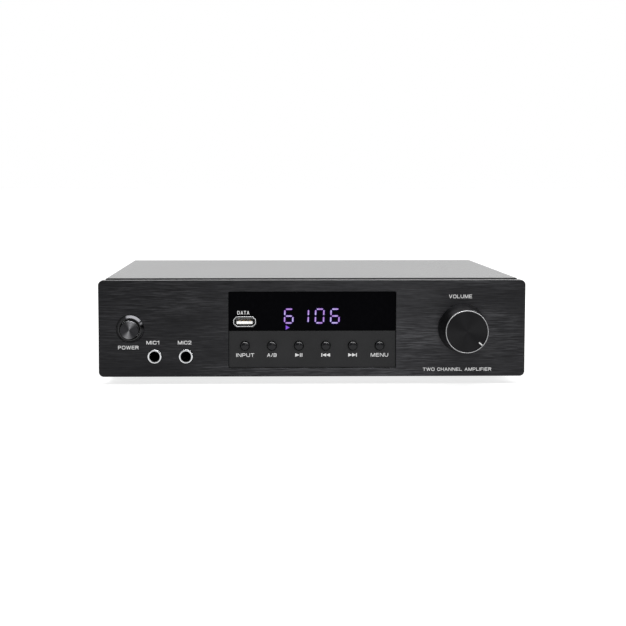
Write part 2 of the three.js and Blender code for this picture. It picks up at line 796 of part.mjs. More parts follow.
function frontAssembly() {
  const group = new THREE.Group();
  add(group, "front_panel", frontPanel(), FINISH.brushedBlack);
  add(group, "control_bezel", controlBezel(), FINISH.blackPlastic);
  add(group, "display_lens", displayLens(), FINISH.smokedAcrylic);
  add(group, "led_display", ledDisplay(), FINISH.whitePlastic);
  add(group, "front_board", frontBoard(), FINISH.circuitBoard);
  KEY_NAMES.forEach((name, i) => {
    add(group, `${name}_key`, key(), FINISH.glossPlastic, [keyX(i), RECESS, KEY.z]);
  });
  const port = [PORT.x, PORT.front, PORT.z];
  add(group, "media_port_shell", portShell(), FINISH.chrome, port);
  add(group, "media_port_tongue", portTongue(), FINISH.whitePlastic, port);
  const power = [POWER.x, 0, POWER.z];
  add(group, "power_bezel", powerBezel(), FINISH.glossPlastic, power);
  add(group, "power_button", powerButton(), FINISH.brushedBlack, power);
  add(group, "power_switch", powerSwitch(), FINISH.blackPlastic, power);
  MIC.x.forEach((x, i) => {
    add(group, `mic_bushing_${i + 1}`, micBushing(), FINISH.chrome, [x, 0, MIC.z]);
    add(group, `mic_jack_${i + 1}`, micJack(), FINISH.blackPlastic, [x, 0, MIC.z]);
  });
  const knob = [KNOB.x, 0, KNOB.z];
  add(group, "volume_knob", volumeKnob(), FINISH.brushedBlack, knob);
  add(group, "knob_trim_ring", knobTrimRing(), FINISH.aluminium, knob);
  add(group, "encoder_shaft", encoderShaft(), FINISH.steel, knob);
  add(group, "encoder_body", encoderBody(), FINISH.steel, knob);
  add(group, "encoder_nut", encoderNut(), FINISH.steel, knob);
  return group;
}

function caseAssembly() {
  const group = new THREE.Group();
  add(group, "chassis_tray", chassisTray(), FINISH.steel);
  add(group, "rear_panel", rearPanel(), FINISH.paintedBlack);
  add(group, "top_cover", topCover(), FINISH.paintedBlack);
  for (const [side, x] of [["left", -FOOT.x], ["right", FOOT.x]]) {
    add(group, `foot_front_${side}`, foot(), FINISH.rubber, [x, FOOT.front, 0]);
    add(group, `foot_rear_${side}`, foot(), FINISH.rubber, [x, FOOT.rear, 0]);
  }
  for (const [name, side, y] of sideScrews()) {
    const face = (side * COVER.width) / 2;
    const screw = add(group, `cover_screw_${name}`, coverScrew(), FINISH.paintedBlack);
    screw.position.set(face, y, COVER_SCREW.z);
    if (side < 0) screw.rotation.z = Math.PI;
  }
  return group;
}

function electronics() {
  const group = new THREE.Group();
  const toroid = [TOROID.x, TOROID.y, 0];
  add(group, "main_board", mainBoard(), FINISH.circuitBoard);
  add(group, "power_transformer", powerTransformer(), FINISH.winding, toroid);
  add(group, "transformer_bolt", transformerBolt(), FINISH.steel, toroid);
  add(group, "heat_sink", heatSink(), FINISH.aluminium);
  add(group, "amplifier_chip", amplifierChip(), FINISH.blackPlastic);
  CAPACITOR.y.forEach((y, i) => {
    const name = `filter_capacitor_${i + 1}`;
    add(group, name, filterCapacitor(), FINISH.sleeve, [CAPACITOR.x, y, 0]);
  });
  add(group, "tuner_module", tunerModule(), FINISH.steel);
  add(group, "ribbon_cable", ribbonCable(), FINISH.ribbon);
  add(group, "mains_lead", mainsLead(), FINISH.blackPlastic);
  return group;
}

function rearAssembly() {
  const group = new THREE.Group();
  add(group, "mains_inlet", mainsInlet(), FINISH.blackPlastic, [INLET.x, 0, INLET.z]);
  pinPositions().forEach((x, i) => {
    add(group, `inlet_pin_${i + 1}`, inletPin(), FINISH.chrome, [INLET.x + x, 0, INLET.z]);
  });
  add(group, "phono_sockets", phonoSockets(), FINISH.brass);
  add(group, "aerial_socket", aerialSocket(), FINISH.chrome, [AERIAL.x, 0, AERIAL.z]);
  add(group, "speaker_terminals", speakerTerminals(), FINISH.blackPlastic);
  clipCentres().forEach(([x, z], i) => {
    const colour = i % 2 ? FINISH.blackPlastic : FINISH.redPlastic;
    const pivot = [x, LEVER.pivotY, z + LEVER.pivotUp];
    add(group, `speaker_lever_${i + 1}`, speakerLever(), colour, pivot);
  });
  return group;
}

const receiver = new THREE.Group();
receiver.add(frontAssembly(), caseAssembly(), electronics(), rearAssembly());
receiver.position.y = -(REACH_FRONT + REACH_REAR) / 2;

export default receiver;
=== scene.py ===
"""Looks of a stereo receiver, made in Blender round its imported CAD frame.

The shapes below are worked out in millimetres in the CAD frame: +X to the right, +Y from the
front panel to the rear sockets, +Z up. piece() turns them into metres. Front faces look to -Y.
"""

import math

import bmesh
import bpy
from mathutils import Matrix, Vector
from mathutils.geometry import delaunay_2d_cdt


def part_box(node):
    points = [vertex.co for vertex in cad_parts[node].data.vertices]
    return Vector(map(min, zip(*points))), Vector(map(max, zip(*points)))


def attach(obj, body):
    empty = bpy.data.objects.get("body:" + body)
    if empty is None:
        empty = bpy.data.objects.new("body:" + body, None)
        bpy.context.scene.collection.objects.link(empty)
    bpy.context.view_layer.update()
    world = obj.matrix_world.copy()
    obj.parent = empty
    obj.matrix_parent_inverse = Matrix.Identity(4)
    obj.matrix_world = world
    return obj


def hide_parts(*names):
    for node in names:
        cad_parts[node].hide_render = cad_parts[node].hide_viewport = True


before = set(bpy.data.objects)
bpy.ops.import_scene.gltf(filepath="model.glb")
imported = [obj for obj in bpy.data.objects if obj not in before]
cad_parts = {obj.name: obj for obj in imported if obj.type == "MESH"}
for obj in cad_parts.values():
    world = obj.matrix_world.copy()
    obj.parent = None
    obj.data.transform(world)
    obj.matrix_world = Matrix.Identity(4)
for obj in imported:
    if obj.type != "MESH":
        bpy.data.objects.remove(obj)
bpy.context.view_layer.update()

# --- Dimensions in millimetres ---

MM = 0.001  # one millimetre in metres
TINY = 1e-4  # lengths below this count as none
FLAT = 0.5  # degrees between faces that count as one flat face
EASE_STEPS = 2  # faces across an eased edge
BEND_STEPS = 5  # faces round a profile's soft corner

PANEL_CORNER = 3.3
PANEL_BEVEL = 0.35
POWER_HOLE, KNOB_HOLE, MIC_HOLE = 7.6, 7, 4.7  # radii of the panel's round holes
WINDOW_MARGIN = 0.1  # the window is this much larger than the bezel on every side
WINDOW_CORNER = 0.7
BEZEL_CORNER = 0.3
BEZEL_WALL = 1.6
KEY_HOLE = 3.15  # radius
RING_BACK = 0.05  # how far behind the panel's face the edges of bright rings start
HOUSING_GAP = 0.3  # between the rear panel and the housings of its sockets
PHONO_OFFSET = (7, 7.5)  # from the middle of the phono block to each socket's axis
INK = 0.03  # height of printed lettering
CAPITAL = 2.35  # height of the panel's capitals

DIGITS = "6106"
DIGIT = {"pitch": 10.1, "width": 6.2, "height": 9.9, "bar": 0.84, "gap": 0.55, "slant": 0.035}
GLOW_STEPS = (0.35, 0.8, 1.4)  # how much wider than its bar each layer of glow is
SEGMENTS = {"0": "abcdef", "1": "bc", "6": "afgedc"}  # the bars that light in each digit

POINTER = {"angle": -41.5, "inner": 10.3, "outer": 13.2, "width": 0.72}

STROKE = 0.155  # stroke thickness of the lettering, as a share of its height
LETTER_GAP = 0.2  # between letters, as a share of their height
SOFT = 0.34  # how far from its corner a letter's bend starts
LEFT, RIGHT = [(0, 0), (0, 1)], [(1, 0), (1, 1)]  # upright strokes
ACROSS = [(0, 0.5), (1, 0.5)]
# Each letter's width, its strokes through corners (x, y, softness) in a unit square, and its
# slopes from the foot to the top. Only round corners give a softness.
LETTERS = {
    "A": (1.0, [[(0.2, 0.3), (0.8, 0.3)]], [(0, 0.5), (1, 0.5)]),
    "B": (0.9, [
        [(0, 0), (0, 1), (1, 1, SOFT), (1, 0.5, SOFT), (0, 0.5)],
        [(0, 0.5), (1, 0.5, SOFT), (1, 0, SOFT), (0, 0)],
    ], []),
    "C": (0.92, [[
        (1, 0.72), (1, 1, SOFT), (0, 1, SOFT), (0, 0, SOFT), (1, 0, SOFT), (1, 0.28),
    ]], []),
    "D": (0.94, [[(0, 0), (0, 1), (1, 1, SOFT), (1, 0, SOFT), (0, 0)]], []),
    "E": (0.84, [[(1, 0), (0, 0), (0, 1), (1, 1)], [(0, 0.5), (0.88, 0.5)]], []),
    "F": (0.8, [[(0, 0), (0, 1), (1, 1)], [(0, 0.5), (0.85, 0.5)]], []),
    "H": (0.94, [LEFT, RIGHT, ACROSS], []),
    "I": (STROKE, [LEFT], []),
    "K": (0.94, [LEFT], [(1, 0.22), (0.1, 1)]),
    "L": (0.78, [[(0, 1), (0, 0), (1, 0)]], []),
    "M": (1.12, [LEFT, RIGHT], [(0.5, 0.04), (0.5, 0.96)]),
    "N": (0.98, [LEFT, RIGHT], [(0.95, 0.05)]),
    "O": (1.0, [
        [(0.5, 1), (0, 1, SOFT), (0, 0, SOFT), (0.5, 0)],
        [(0.5, 1), (1, 1, SOFT), (1, 0, SOFT), (0.5, 0)],
    ], []),
    "P": (0.86, [[(0, 0), (0, 1), (1, 1, SOFT), (1, 0.42, SOFT), (0, 0.42)]], []),
    "R": (0.92, [[(0, 0), (0, 1), (1, 1, SOFT), (1, 0.45, SOFT), (0, 0.45)]], [(1, 0.35)]),
    "S": (0.88, [[
        (0, 0.24), (0, 0, SOFT), (1, 0, SOFT), (1, 0.5, SOFT), (0, 0.5, SOFT), (0, 1, SOFT),
        (1, 1, SOFT), (1, 0.76),
    ]], []),
    "T": (0.86, [[(0, 1), (1, 1)], [(0.5, 0), (0.5, 1)]], []),
    "U": (0.94, [[(0, 1), (0, 0, SOFT), (1, 0, SOFT), (1, 1)]], []),
    "V": (0.98, [], [(0.5, 0), (0.5, 1)]),
    "W": (1.34, [], [(0.25, 0), (0.25, 0.5), (0.75, 0.5), (0.75, 1)]),
    "/": (0.5, [], [(0, 1)]),
    "+": (0.8, [ACROSS, [(0.5, 0.1), (0.5, 0.9)]], []),
    "-": (0.6, [ACROSS], []),
    "1": (0.5, [[(0, 0.8), (1, 1)], RIGHT], []),
    "2": (0.84, [[(0, 0.74), (0, 1, SOFT), (1, 1, SOFT), (1, 0.62, 0.2), (0, 0), (1, 0)]], []),
    " ": (0.42, [], []),
}

# --- Places ---


def ends(node):
    """A CAD node's lowest and highest corners."""
    low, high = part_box(node)
    return low / MM, high / MM


def middle(node):
    low, high = ends(node)
    return (low + high) / 2


def span(node):
    """A CAD node's lowest and highest corners, and its middle."""
    return *ends(node), middle(node)


def plan(node):
    """Where a node's middle is in a front view."""
    spot = middle(node)
    return spot.x, spot.z


PANEL_LOW, PANEL_HIGH = ends("front_panel")
FACE = PANEL_LOW.y  # the front panel's front face
LENS_FACE = ends("display_lens")[0].y
REAR_LOW, REAR_HIGH = ends("rear_panel")
REAR_FACE = REAR_HIGH.y
KEYS = ["input", "speaker_ab", "play_pause", "previous", "next", "menu"]
KEY_NODES = [f"{name}_key" for name in KEYS]
LEVERS = [f"speaker_lever_{i}" for i in range(1, 9)]

# --- Outlines ---


def arc(cx, cy, radius, start, end, steps):
    """Points on an arc, with its angles in degrees."""
    angles = [math.radians(start + (end - start) * i / steps) for i in range(steps + 1)]
    return [(cx + radius * math.cos(a), cy + radius * math.sin(a)) for a in angles]


def circle(cx, cy, radius, sides=64):
    return arc(cx, cy, radius, 0, 360, sides)[:-1]


def rectangle(x0, x1, y0, y1, corner, steps=8):
    """A rectangle with round corners."""
    return (
        arc(x1 - corner, y0 + corner, corner, -90, 0, steps)
        + arc(x1 - corner, y1 - corner, corner, 0, 90, steps)
        + arc(x0 + corner, y1 - corner, corner, 90, 180, steps)
        + arc(x0 + corner, y0 + corner, corner, 180, 270, steps)
    )


def rectangle_round(cx, cy, width, height, corner, steps=8):
    """A rectangle with round corners round a middle."""
    return rectangle(
        cx - width / 2, cx + width / 2, cy - height / 2, cy + height / 2, corner, steps
    )


def front_view(low, high, corner, steps=8, margin=0.0):
    """The outline of a box seen from the front, with round corners, grown by a margin."""
    return rectangle(
        low.x - margin, high.x + margin, low.z - margin, high.z + margin, corner, steps
    )


def cut_corner_rectangle(cx, cy, width, height, corner):
    x, y, c = width / 2, height / 2, corner
    points = [
        (x, c - y), (x, y - c), (x - c, y), (c - x, y),
        (-x, y - c), (-x, c - y), (c - x, -y), (x - c, -y),
    ]
    return [(cx + a, cy + b) for a, b in points]


# --- Solids ---


def tube(inner, outer, start, end, inner_softness, outer_softness):
    """The profile of a ring from one depth to another, with round corners at its end."""
    return [
        (inner, start, 0), (inner, end, inner_softness), (outer, end, outer_softness),
        (outer, start, 0),
    ]


def softened(profile, closed):
    """A profile of (radius, depth, softness) corners, with each corner rounded by its softness."""
    points = []
    count = len(profile)
    for i, (radius, depth, softness) in enumerate(profile):
        corner = Vector((radius, depth))
        at_end = not closed and i in (0, count - 1)
        if softness < TINY or at_end:
            points.append(corner)
            continue
        before = Vector(profile[i - 1][:2]) - corner
        after = Vector(profile[(i + 1) % count][:2]) - corner
        start = corner + before.normalized() * min(softness, before.length / 2)
        end = corner + after.normalized() * min(softness, after.length / 2)
        for j in range(BEND_STEPS + 1):
            t = j / BEND_STEPS
            points.append(start * (1 - t) ** 2 + corner * 2 * t * (1 - t) + end * t * t)
    return points


def turned(profile, spot=(0, 0, 0), sides=96):
    """A body of revolution about the line along Y through a spot.

    Its profile is (radius, depth, softness) corners, and it closes to a ring unless it starts
    on the line.
    """
    closed = profile[0][0] > TINY
    centre = Vector((spot[0], 0, spot[2]))
    points = softened(profile, closed)
    shape = bmesh.new()
    rings = []
    for radius, depth in points:
        count = sides if radius > TINY else 1
        ring = []
        for i in range(count):
            angle = 2 * math.pi * i / count
            reach = Vector((radius * math.cos(angle), depth, radius * math.sin(angle)))
            ring.append(shape.verts.new(centre + reach))
        rings.append(ring)
    following = rings[1:] + (rings[:1] if closed else [])
    for ring, other in zip(rings, following):
        for i in range(sides):
            corners = [
                ring[i % len(ring)],
                ring[(i + 1) % len(ring)],
                other[(i + 1) % len(other)],
                other[i % len(other)],
            ]
            corners = list(dict.fromkeys(corners))
            if len(corners) > 2:
                shape.faces.new(corners)
    bmesh.ops.recalc_face_normals(shape, faces=shape.faces)
    return shape


def added(name, data):
    """A new object in the scene."""
    thing = bpy.data.objects.new(name, data)
    bpy.context.scene.collection.objects.link(thing)
    return thing


def mesh_of(name, shape):
    """A shape's mesh. The shape is used up."""
    mesh = bpy.data.meshes.new(name)
    shape.to_mesh(mesh)
    shape.free()
    return mesh


def from_curve(curve):
    """The shape of a curve, with its loose seams merged."""
    holder = bpy.data.objects.new("holder", curve)
    mesh = bpy.data.meshes.new_from_object(holder)
    shape = bmesh.new()
    shape.from_mesh(mesh)
    bmesh.ops.remove_doubles(shape, verts=shape.verts, dist=TINY)
    bpy.data.objects.remove(holder)
    bpy.data.curves.remove(curve)
    bpy.data.meshes.remove(mesh)
    return shape


def plate(outline, holes, front, rear, bevel=0.0):
    """A flat plate whose outline and holes are drawn in XZ, from one depth to another."""
    curve = bpy.data.curves.new("outline", "CURVE")
    curve.dimensions = "2D"
    curve.fill_mode = "BOTH"
    curve.extrude = (rear - front) / 2 - bevel
    curve.bevel_depth = bevel
    curve.bevel_resolution = EASE_STEPS
    curve.offset = -bevel
    for points in [outline, *holes]:
        spline = curve.splines.new("POLY")
        spline.points.add(len(points) - 1)
        for spot, (x, z) in zip(spline.points, points):
            spot.co = (x, z, 0, 1)
        spline.use_cyclic_u = True
    return moved(from_curve(curve), (0, (front + rear) / 2, 0), 90, "X")


def block(low, high, bevel=0.0):
    """A box between two corners with eased edges."""
    shape = bmesh.new()
    bmesh.ops.create_cube(shape, size=1)
    low, high = Vector(low), Vector(high)
    shape.transform(Matrix.Translation((low + high) / 2) @ Matrix.Diagonal((*(high - low), 1)))
    if bevel > 0:
        bmesh.ops.bevel(
            shape, geom=shape.edges, offset=bevel, segments=EASE_STEPS, profile=0.5,
            affect="EDGES",
        )
    return shape


def covers(polygon, spot):
    """Whether a convex polygon covers a point."""
    edges = zip(polygon, polygon[1:] + polygon[:1])
    on_left = ((b - a).cross(spot - a) > 0 for a, b in edges)
    first = next(on_left)
    return all(side == first for side in on_left)


def raised(polygons, front, rear):
    """Flat convex polygons drawn in XZ, merged where they overlap, as a plate."""
    polygons = [[Vector(corner) for corner in polygon] for polygon in polygons]
    corners, cells = [], []
    for polygon in polygons:
        cells.append(list(range(len(corners), len(corners) + len(polygon))))
        corners += polygon
    spots, _, cells, *_ = delaunay_2d_cdt(corners, [], cells, 1, TINY)
    shape = bmesh.new()
    verts = [shape.verts.new((x, front, z)) for x, z in spots]
    for cell in cells:
        centre = sum((spots[i] for i in cell), Vector((0, 0))) / len(cell)
        if any(covers(polygon, centre) for polygon in polygons):
            shape.faces.new([verts[i] for i in cell])
    bmesh.ops.delete(shape, geom=[v for v in shape.verts if not v.link_faces], context="VERTS")
    made = bmesh.ops.extrude_face_region(shape, geom=shape.faces[:])["geom"]
    pushed = [item for item in made if isinstance(item, bmesh.types.BMVert)]
    bmesh.ops.translate(shape, verts=pushed, vec=(0, rear - front, 0))
    bmesh.ops.recalc_face_normals(shape, faces=shape.faces)
    return shape


def joined(*shapes):
    """Several shapes as one, keeping each one's material number."""
    whole = bmesh.new()
    for shape in shapes:
        mesh = mesh_of("part", shape)
        whole.from_mesh(mesh)
        bpy.data.meshes.remove(mesh)
    return whole


def painted(shape, number, where=lambda face: True):
    """The shape with a material number on the faces that where() picks."""
    for face in shape.faces:
        if where(face):
            face.material_index = number
    return shape


def within(radius, spot):
    """Picks the faces whose middle is within a radius of the line along Y through a spot."""
    def found(face):
        centre = face.calc_center_median()
        return math.hypot(centre.x - spot.x, centre.z - spot.z) < radius
    return found


def edge_at(y, z, reach=0.1):
    """Picks the edges that run along X at a depth and a height."""
    def found(edge):
        return all(abs(v.co.y - y) < reach and abs(v.co.z - z) < reach for v in edge.verts)
    return found


def moved(shape, offset, turn, axis="Z"):
    """The shape turned by degrees about an axis, then moved."""
    shape.transform(Matrix.Translation(offset) @ Matrix.Rotation(math.radians(turn), 4, axis))
    return shape


def refined(node, bevel, limit=35, rounded=None, radius=0.0):
    """A CAD node's own shape with its sharp edges eased, and its rounded() ones by a radius.

    Edges are sharp where their faces turn by more than limit degrees.
    """
    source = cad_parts[node].data
    shape = bmesh.new()
    verts = [shape.verts.new(vert.co / MM) for vert in source.vertices]
    for polygon in source.polygons:
        shape.faces.new([verts[i] for i in polygon.vertices])
    bmesh.ops.remove_doubles(shape, verts=shape.verts, dist=TINY)
    bmesh.ops.dissolve_limit(
        shape, angle_limit=math.radians(FLAT), verts=shape.verts, edges=shape.edges
    )
    sharp = [
        edge for edge in shape.edges
        if edge.is_manifold and edge.calc_face_angle() > math.radians(limit)
    ]
    if rounded:
        chosen = [edge for edge in sharp if rounded(edge)]
        sharp = [edge for edge in sharp if edge not in chosen]
        made = bmesh.ops.bevel(
            shape, geom=chosen, offset=radius, segments=4, profile=0.5, affect="EDGES"
        )
        sharp = [edge for edge in sharp if edge.is_valid and edge not in made["edges"]]
    bmesh.ops.bevel(
        shape, geom=sharp, offset=bevel, segments=EASE_STEPS, profile=0.5,
        affect="EDGES", clamp_overlap=True,
    )
    return shape


def carved(shape, *tools):
    """A shape with others cut out of it."""
    solids = [added("solid", mesh_of("solid", part)) for part in (shape, *tools)]
    for tool in solids[1:]:
        cutter = solids[0].modifiers.new("cut", "BOOLEAN")
        cutter.operation = "DIFFERENCE"
        cutter.solver = "EXACT"
        cutter.object = tool
    graph = bpy.context.evaluated_depsgraph_get()
    mesh = bpy.data.meshes.new_from_object(solids[0].evaluated_get(graph))
    result = bmesh.new()
    result.from_mesh(mesh)
    for solid in solids:
        bpy.data.objects.remove(solid)
    return result


def piece(name, shape, materials, replaced=(), body="case", smooth=35):
    """Makes a shape into an object in metres that rides on a body.

    Its shading is smooth where faces turn by less than smooth degrees.
    """
    shape.transform(Matrix.Scale(MM, 4))
    mesh = mesh_of(name, shape)
    for material in materials if isinstance(materials, list) else [materials]:
        mesh.materials.append(material)
    mesh.shade_smooth()
    mesh.set_sharp_from_angle(angle=math.radians(smooth))
    thing = added(name, mesh)
    even = thing.modifiers.new("even_normals", "WEIGHTED_NORMAL")
    even.keep_sharp = True
    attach(thing, body)
    if replaced:
        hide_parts(*replaced)


def coat(node, material):
    """A CAD node that stays as it is and takes a better material."""
    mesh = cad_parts[node].data
    mesh.materials.clear()
    mesh.materials.append(material)


# --- Materials ---

MIX_FIRST, MIX_SECOND, MIX_RESULT = 6, 7, 2  # the colour sockets of a Mix node


def shade(colour, factor, lift=0.0):
    """A colour made darker or lighter."""
    return [value * factor + lift for value in colour]


class Finish:
    """A Principled material built up in layers, with its textures in millimetre coordinates.

    The colour and roughness that it starts with stand in for textures that can't be shown.
    """

    def __init__(self, name, colour, roughness, metallic=0.0, **sockets):
        self.material = bpy.data.materials.new(name)
        self.material.use_nodes = True
        self.nodes = self.material.node_tree.nodes
        self.links = self.material.node_tree.links
        self.shader = self.nodes["Principled BSDF"]
        plain = {"Base Color": (*colour, 1), "Roughness": roughness, "Metallic": metallic}
        for socket, value in {**plain, **sockets}.items():
            self.shader.inputs[socket.replace("_", " ")].default_value = value

    def add(self, kind, *inputs, named=None, **settings):
        """A node with its settings. Each input is given a socket to link or a value to set."""
        node = self.nodes.new(kind)
        for key, value in settings.items():
            setattr(node, key, value)
        for key, value in [*enumerate(inputs), *(named or {}).items()]:
            if isinstance(value, bpy.types.NodeSocket):
                self.links.new(value, node.inputs[key])
            elif value is not None:
                node.inputs[key].default_value = value
        return node

    def feed(self, value, socket):
        """Links a value to one of the shader's sockets."""
        self.links.new(value, self.shader.inputs[socket])
        return self

    def coordinates(self, stretch=(1, 1, 1)):
        """Object coordinates, with stretch giving the texture's cycles per millimetre."""
        source = self.add("ShaderNodeTexCoord").outputs["Object"]
        scale = [value / MM for value in stretch]
        return self.add("ShaderNodeMapping", source, named={"Scale": scale}).outputs[0]

    def noise(self, stretch, detail=3.0, roughness=0.55):
        """Noise with its cycles per millimetre along X, Y and Z, or one number for all three."""
        if not isinstance(stretch, tuple):
            stretch = (stretch,) * 3
        looks = {"Scale": 1, "Detail": detail, "Roughness": roughness}
        return self.add("ShaderNodeTexNoise", self.coordinates(stretch), named=looks).outputs[0]

    def between(self, value, start, end, low=0.0, high=1.0):
        """Maps a value's range start to end onto low to high, and clips it there."""
        return self.add("ShaderNodeMapRange", value, start, end, low, high).outputs[0]

    def math(self, operation, a, b=None):
        return self.add("ShaderNodeMath", a, b, operation=operation).outputs[0]

    def blend(self, value, first, second):
        """The colour that a value from 0 to 1 picks between two."""
        mixed = {"Factor": value, MIX_FIRST: (*first, 1), MIX_SECOND: (*second, 1)}
        return self.add("ShaderNodeMix", named=mixed, data_type="RGBA").outputs[MIX_RESULT]

    def colour(self, value, first, second):
        return self.feed(self.blend(value, first, second), "Base Color")

    def rough(self, value, low, high):
        return self.feed(self.between(value, 0, 1, low, high), "Roughness")

    def bump(self, height, depth):
        """Raises the surface by up to depth millimetres where height is 1."""
        relief = {"Strength": 1, "Distance": depth * MM, "Height": height}
        return self.feed(self.add("ShaderNodeBump", named=relief).outputs[0], "Normal")

    def grain_round(self, axis):
        """Turns the highlight across a grain that runs in circles about an axis."""
        tangent = self.add("ShaderNodeTangent", direction_type="RADIAL", axis=axis)
        return self.feed(tangent.outputs[0], "Tangent")


def brushed_panel():
    """Black anodised aluminium, brushed lengthwise, with streaks that calm towards its ends, and a
    painted sheen: lighter round a spot right of its middle, darker towards its ends.
    """
    finish = Finish(
        "brushed_panel", (0.04, 0.04, 0.043), 0.34, 1.0,
        Anisotropic=0.75, Anisotropic_Rotation=0.25,
    )
    fine = finish.between(finish.noise((0.06, 0.8, 5.0), 2), 0.3, 0.7)
    streaks = finish.between(finish.noise((0.09, 0.4, 2.2), 3, 0.6), 0.44, 0.70)
    scores = finish.between(finish.noise((0.13, 0.4, 1.9), 3, 0.6), 0.58, 0.44, 0, 0.5)
    patches = finish.between(finish.noise((0.016, 0.2, 0.05), 2), 0.36, 0.62)
    broken = finish.math("MULTIPLY", streaks, patches)
    cloth = finish.math("MULTIPLY", finish.math("ADD", fine, scores), 0.3)
    across = finish.add("ShaderNodeSeparateXYZ", finish.coordinates()).outputs["X"]
    centre, sheen_full, sheen_faded = 40, 60, 150  # millimetres along the panel
    out = finish.math("ABSOLUTE", finish.math("SUBTRACT", across, centre))
    # Painted sheen: full within sheen_full of centre, falling to 0.55 by sheen_faded, which darkens
    # the colour and calms the streaks towards the ends.
    painted_sheen = finish.between(out, sheen_full, sheen_faded, 1.0, 0.55)
    total = finish.math("MULTIPLY", finish.math("ADD", broken, cloth), painted_sheen)
    finish.colour(total, (0.0145, 0.0145, 0.0155), (0.062, 0.062, 0.066))
    finish.rough(total, 0.30, 0.42)
    finish.bump(fine, 0.004)
    return finish.grain_round("Z").material


def satin_moulding(name, colour, roughness=0.5, grain=0.012, specular=0.5):
    """A moulded surface with a fine even spark-eroded grain."""
    finish = Finish(name, colour, roughness, Specular_IOR_Level=specular)
    speckle = finish.noise(3.2, 3)
    cloud = finish.between(finish.noise(0.06, 2), 0.3, 0.7)
    finish.colour(cloud, shade(colour, 0.86), shade(colour, 1.14))
    finish.rough(speckle, roughness - 0.1, roughness + 0.1)
    finish.bump(speckle, grain)
    return finish.material


def polished_plastic(name, colour, roughness=0.12, specular=0.5, dust=0.05):
    """Glossy plastic with faint waviness and a trace of handling haze."""
    finish = Finish(name, colour, roughness, Specular_IOR_Level=specular)
    wave = finish.noise(0.08, 1)
    haze = finish.between(finish.noise(0.5, 4), 0.45, 0.75)
    finish.colour(haze, colour, shade(colour, 1.25, 0.0004))
    finish.rough(haze, roughness, roughness + dust)
    finish.bump(wave, 0.003)
    return finish.material


def plated_metal(name, colour, roughness=0.12):
    """Plated metal with faint polishing marks."""
    finish = Finish(name, colour, roughness, 1.0)
    marks = finish.noise(2.0, 3)
    finish.colour(marks, shade(colour, 0.88), colour)
    finish.rough(marks, roughness * 0.7, roughness * 1.5)
    finish.bump(marks, 0.003)
    return finish.material


def sheet_steel(name, colour, roughness, grain):
    """Zinc-plated sheet with a soft rolling grain and a mottled bloom."""
    finish = Finish(name, colour, roughness, 1.0)
    rolling = finish.noise(grain, 3)
    bloom = finish.between(finish.noise(0.05, 3), 0.35, 0.65)
    finish.colour(bloom, shade(colour, 0.8), colour)
    finish.rough(rolling, roughness - 0.08, roughness + 0.1)
    finish.bump(rolling, 0.006)
    return finish.material


def painted_steel():
    """Black gloss paint with a faint orange peel."""
    finish = Finish("painted_steel", (0.02, 0.02, 0.021), 0.24)
    peel = finish.noise(0.5, 2)
    speckle = finish.noise(4.5, 2)
    cloud = finish.between(finish.noise(0.012, 2), 0.3, 0.7)
    finish.colour(cloud, (0.017, 0.017, 0.018), (0.026, 0.026, 0.027))
    finish.rough(speckle, 0.25, 0.31)
    finish.bump(peel, 0.001)
    return finish.material


def spun_metal(name, dark, light, roughness, axis, highlight_fans, lean=14):
    """Metal turned on a lathe about axis, (x, z): fine rings, with two lighter fans across them, a
    painted highlight.

    highlight_fans says how narrow the painted highlight fans are, from 0, none. They lean clockwise
    by lean degrees.
    """
    finish = Finish(name, dark, roughness, 1.0, Anisotropic=0.8, Anisotropic_Rotation=0.25)
    source = finish.add("ShaderNodeTexCoord").outputs["Object"]
    stand = {"Location": (axis[0] * MM, 0, axis[1] * MM), "Rotation": (0, math.radians(lean), 0)}
    place = finish.add("ShaderNodeMapping", source, named=stand, vector_type="TEXTURE")
    split = finish.add("ShaderNodeSeparateXYZ", place.outputs[0])
    across, up = split.outputs["X"], split.outputs["Z"]
    radius = finish.math("SQRT", finish.math(
        "ADD", finish.math("MULTIPLY", across, across), finish.math("MULTIPLY", up, up)
    ))
    looks = {"Scale": 5 / MM, "Detail": 3, "W": radius}
    rings = finish.add("ShaderNodeTexNoise", named=looks, noise_dimensions="1D").outputs[0]
    # Painted highlight: the colour is lighter above and below the axis, leaning by lean degrees.
    toward = finish.math("ABSOLUTE", finish.math("DIVIDE", up, radius))
    painted_fan = finish.math("POWER", toward, highlight_fans)
    grain = finish.between(rings, 0.3, 0.7, 0.75, 1.0)
    finish.colour(finish.math("MULTIPLY", painted_fan, grain), dark, light)
    finish.rough(rings, roughness * 0.8, roughness * 1.2)
    finish.bump(rings, 0.006)
    return finish.grain_round("Y").material


def lit(name, first, second, strength):
    """A lit part of the display, its colour drifting between two."""
    finish = Finish(
        name, (0.001, 0.001, 0.0015), 0.3, Specular_IOR_Level=0.012, Emission_Strength=strength
    )
    drift = finish.between(finish.noise(0.25, 2), 0.4, 0.6)
    return finish.feed(finish.blend(drift, first, second), "Emission Color").material


def ink():
    """White screen-printed ink, slightly uneven."""
    finish = Finish("white_ink", (0.6, 0.6, 0.6), 0.5)
    cover = finish.between(finish.noise(2.5, 2), 0.25, 0.6)
    finish.colour(cover, (0.45, 0.45, 0.45), (0.62, 0.62, 0.62))
    return finish.material


def circuit_board():
    """Green solder mask over copper tracks that run square to each other."""
    finish = Finish("circuit_board", (0.02, 0.10, 0.05), 0.32)
    looks = {"Scale": 0.3, "Mortar Size": 0.06}
    cells = finish.add("ShaderNodeTexBrick", finish.coordinates(), named=looks)
    tracks = finish.between(cells.outputs["Fac"], 0.2, 0.8)
    finish.colour(tracks, (0.010, 0.075, 0.035), (0.030, 0.150, 0.070))
    finish.rough(tracks, 0.3, 0.4)
    finish.bump(tracks, 0.03)
    return finish.material


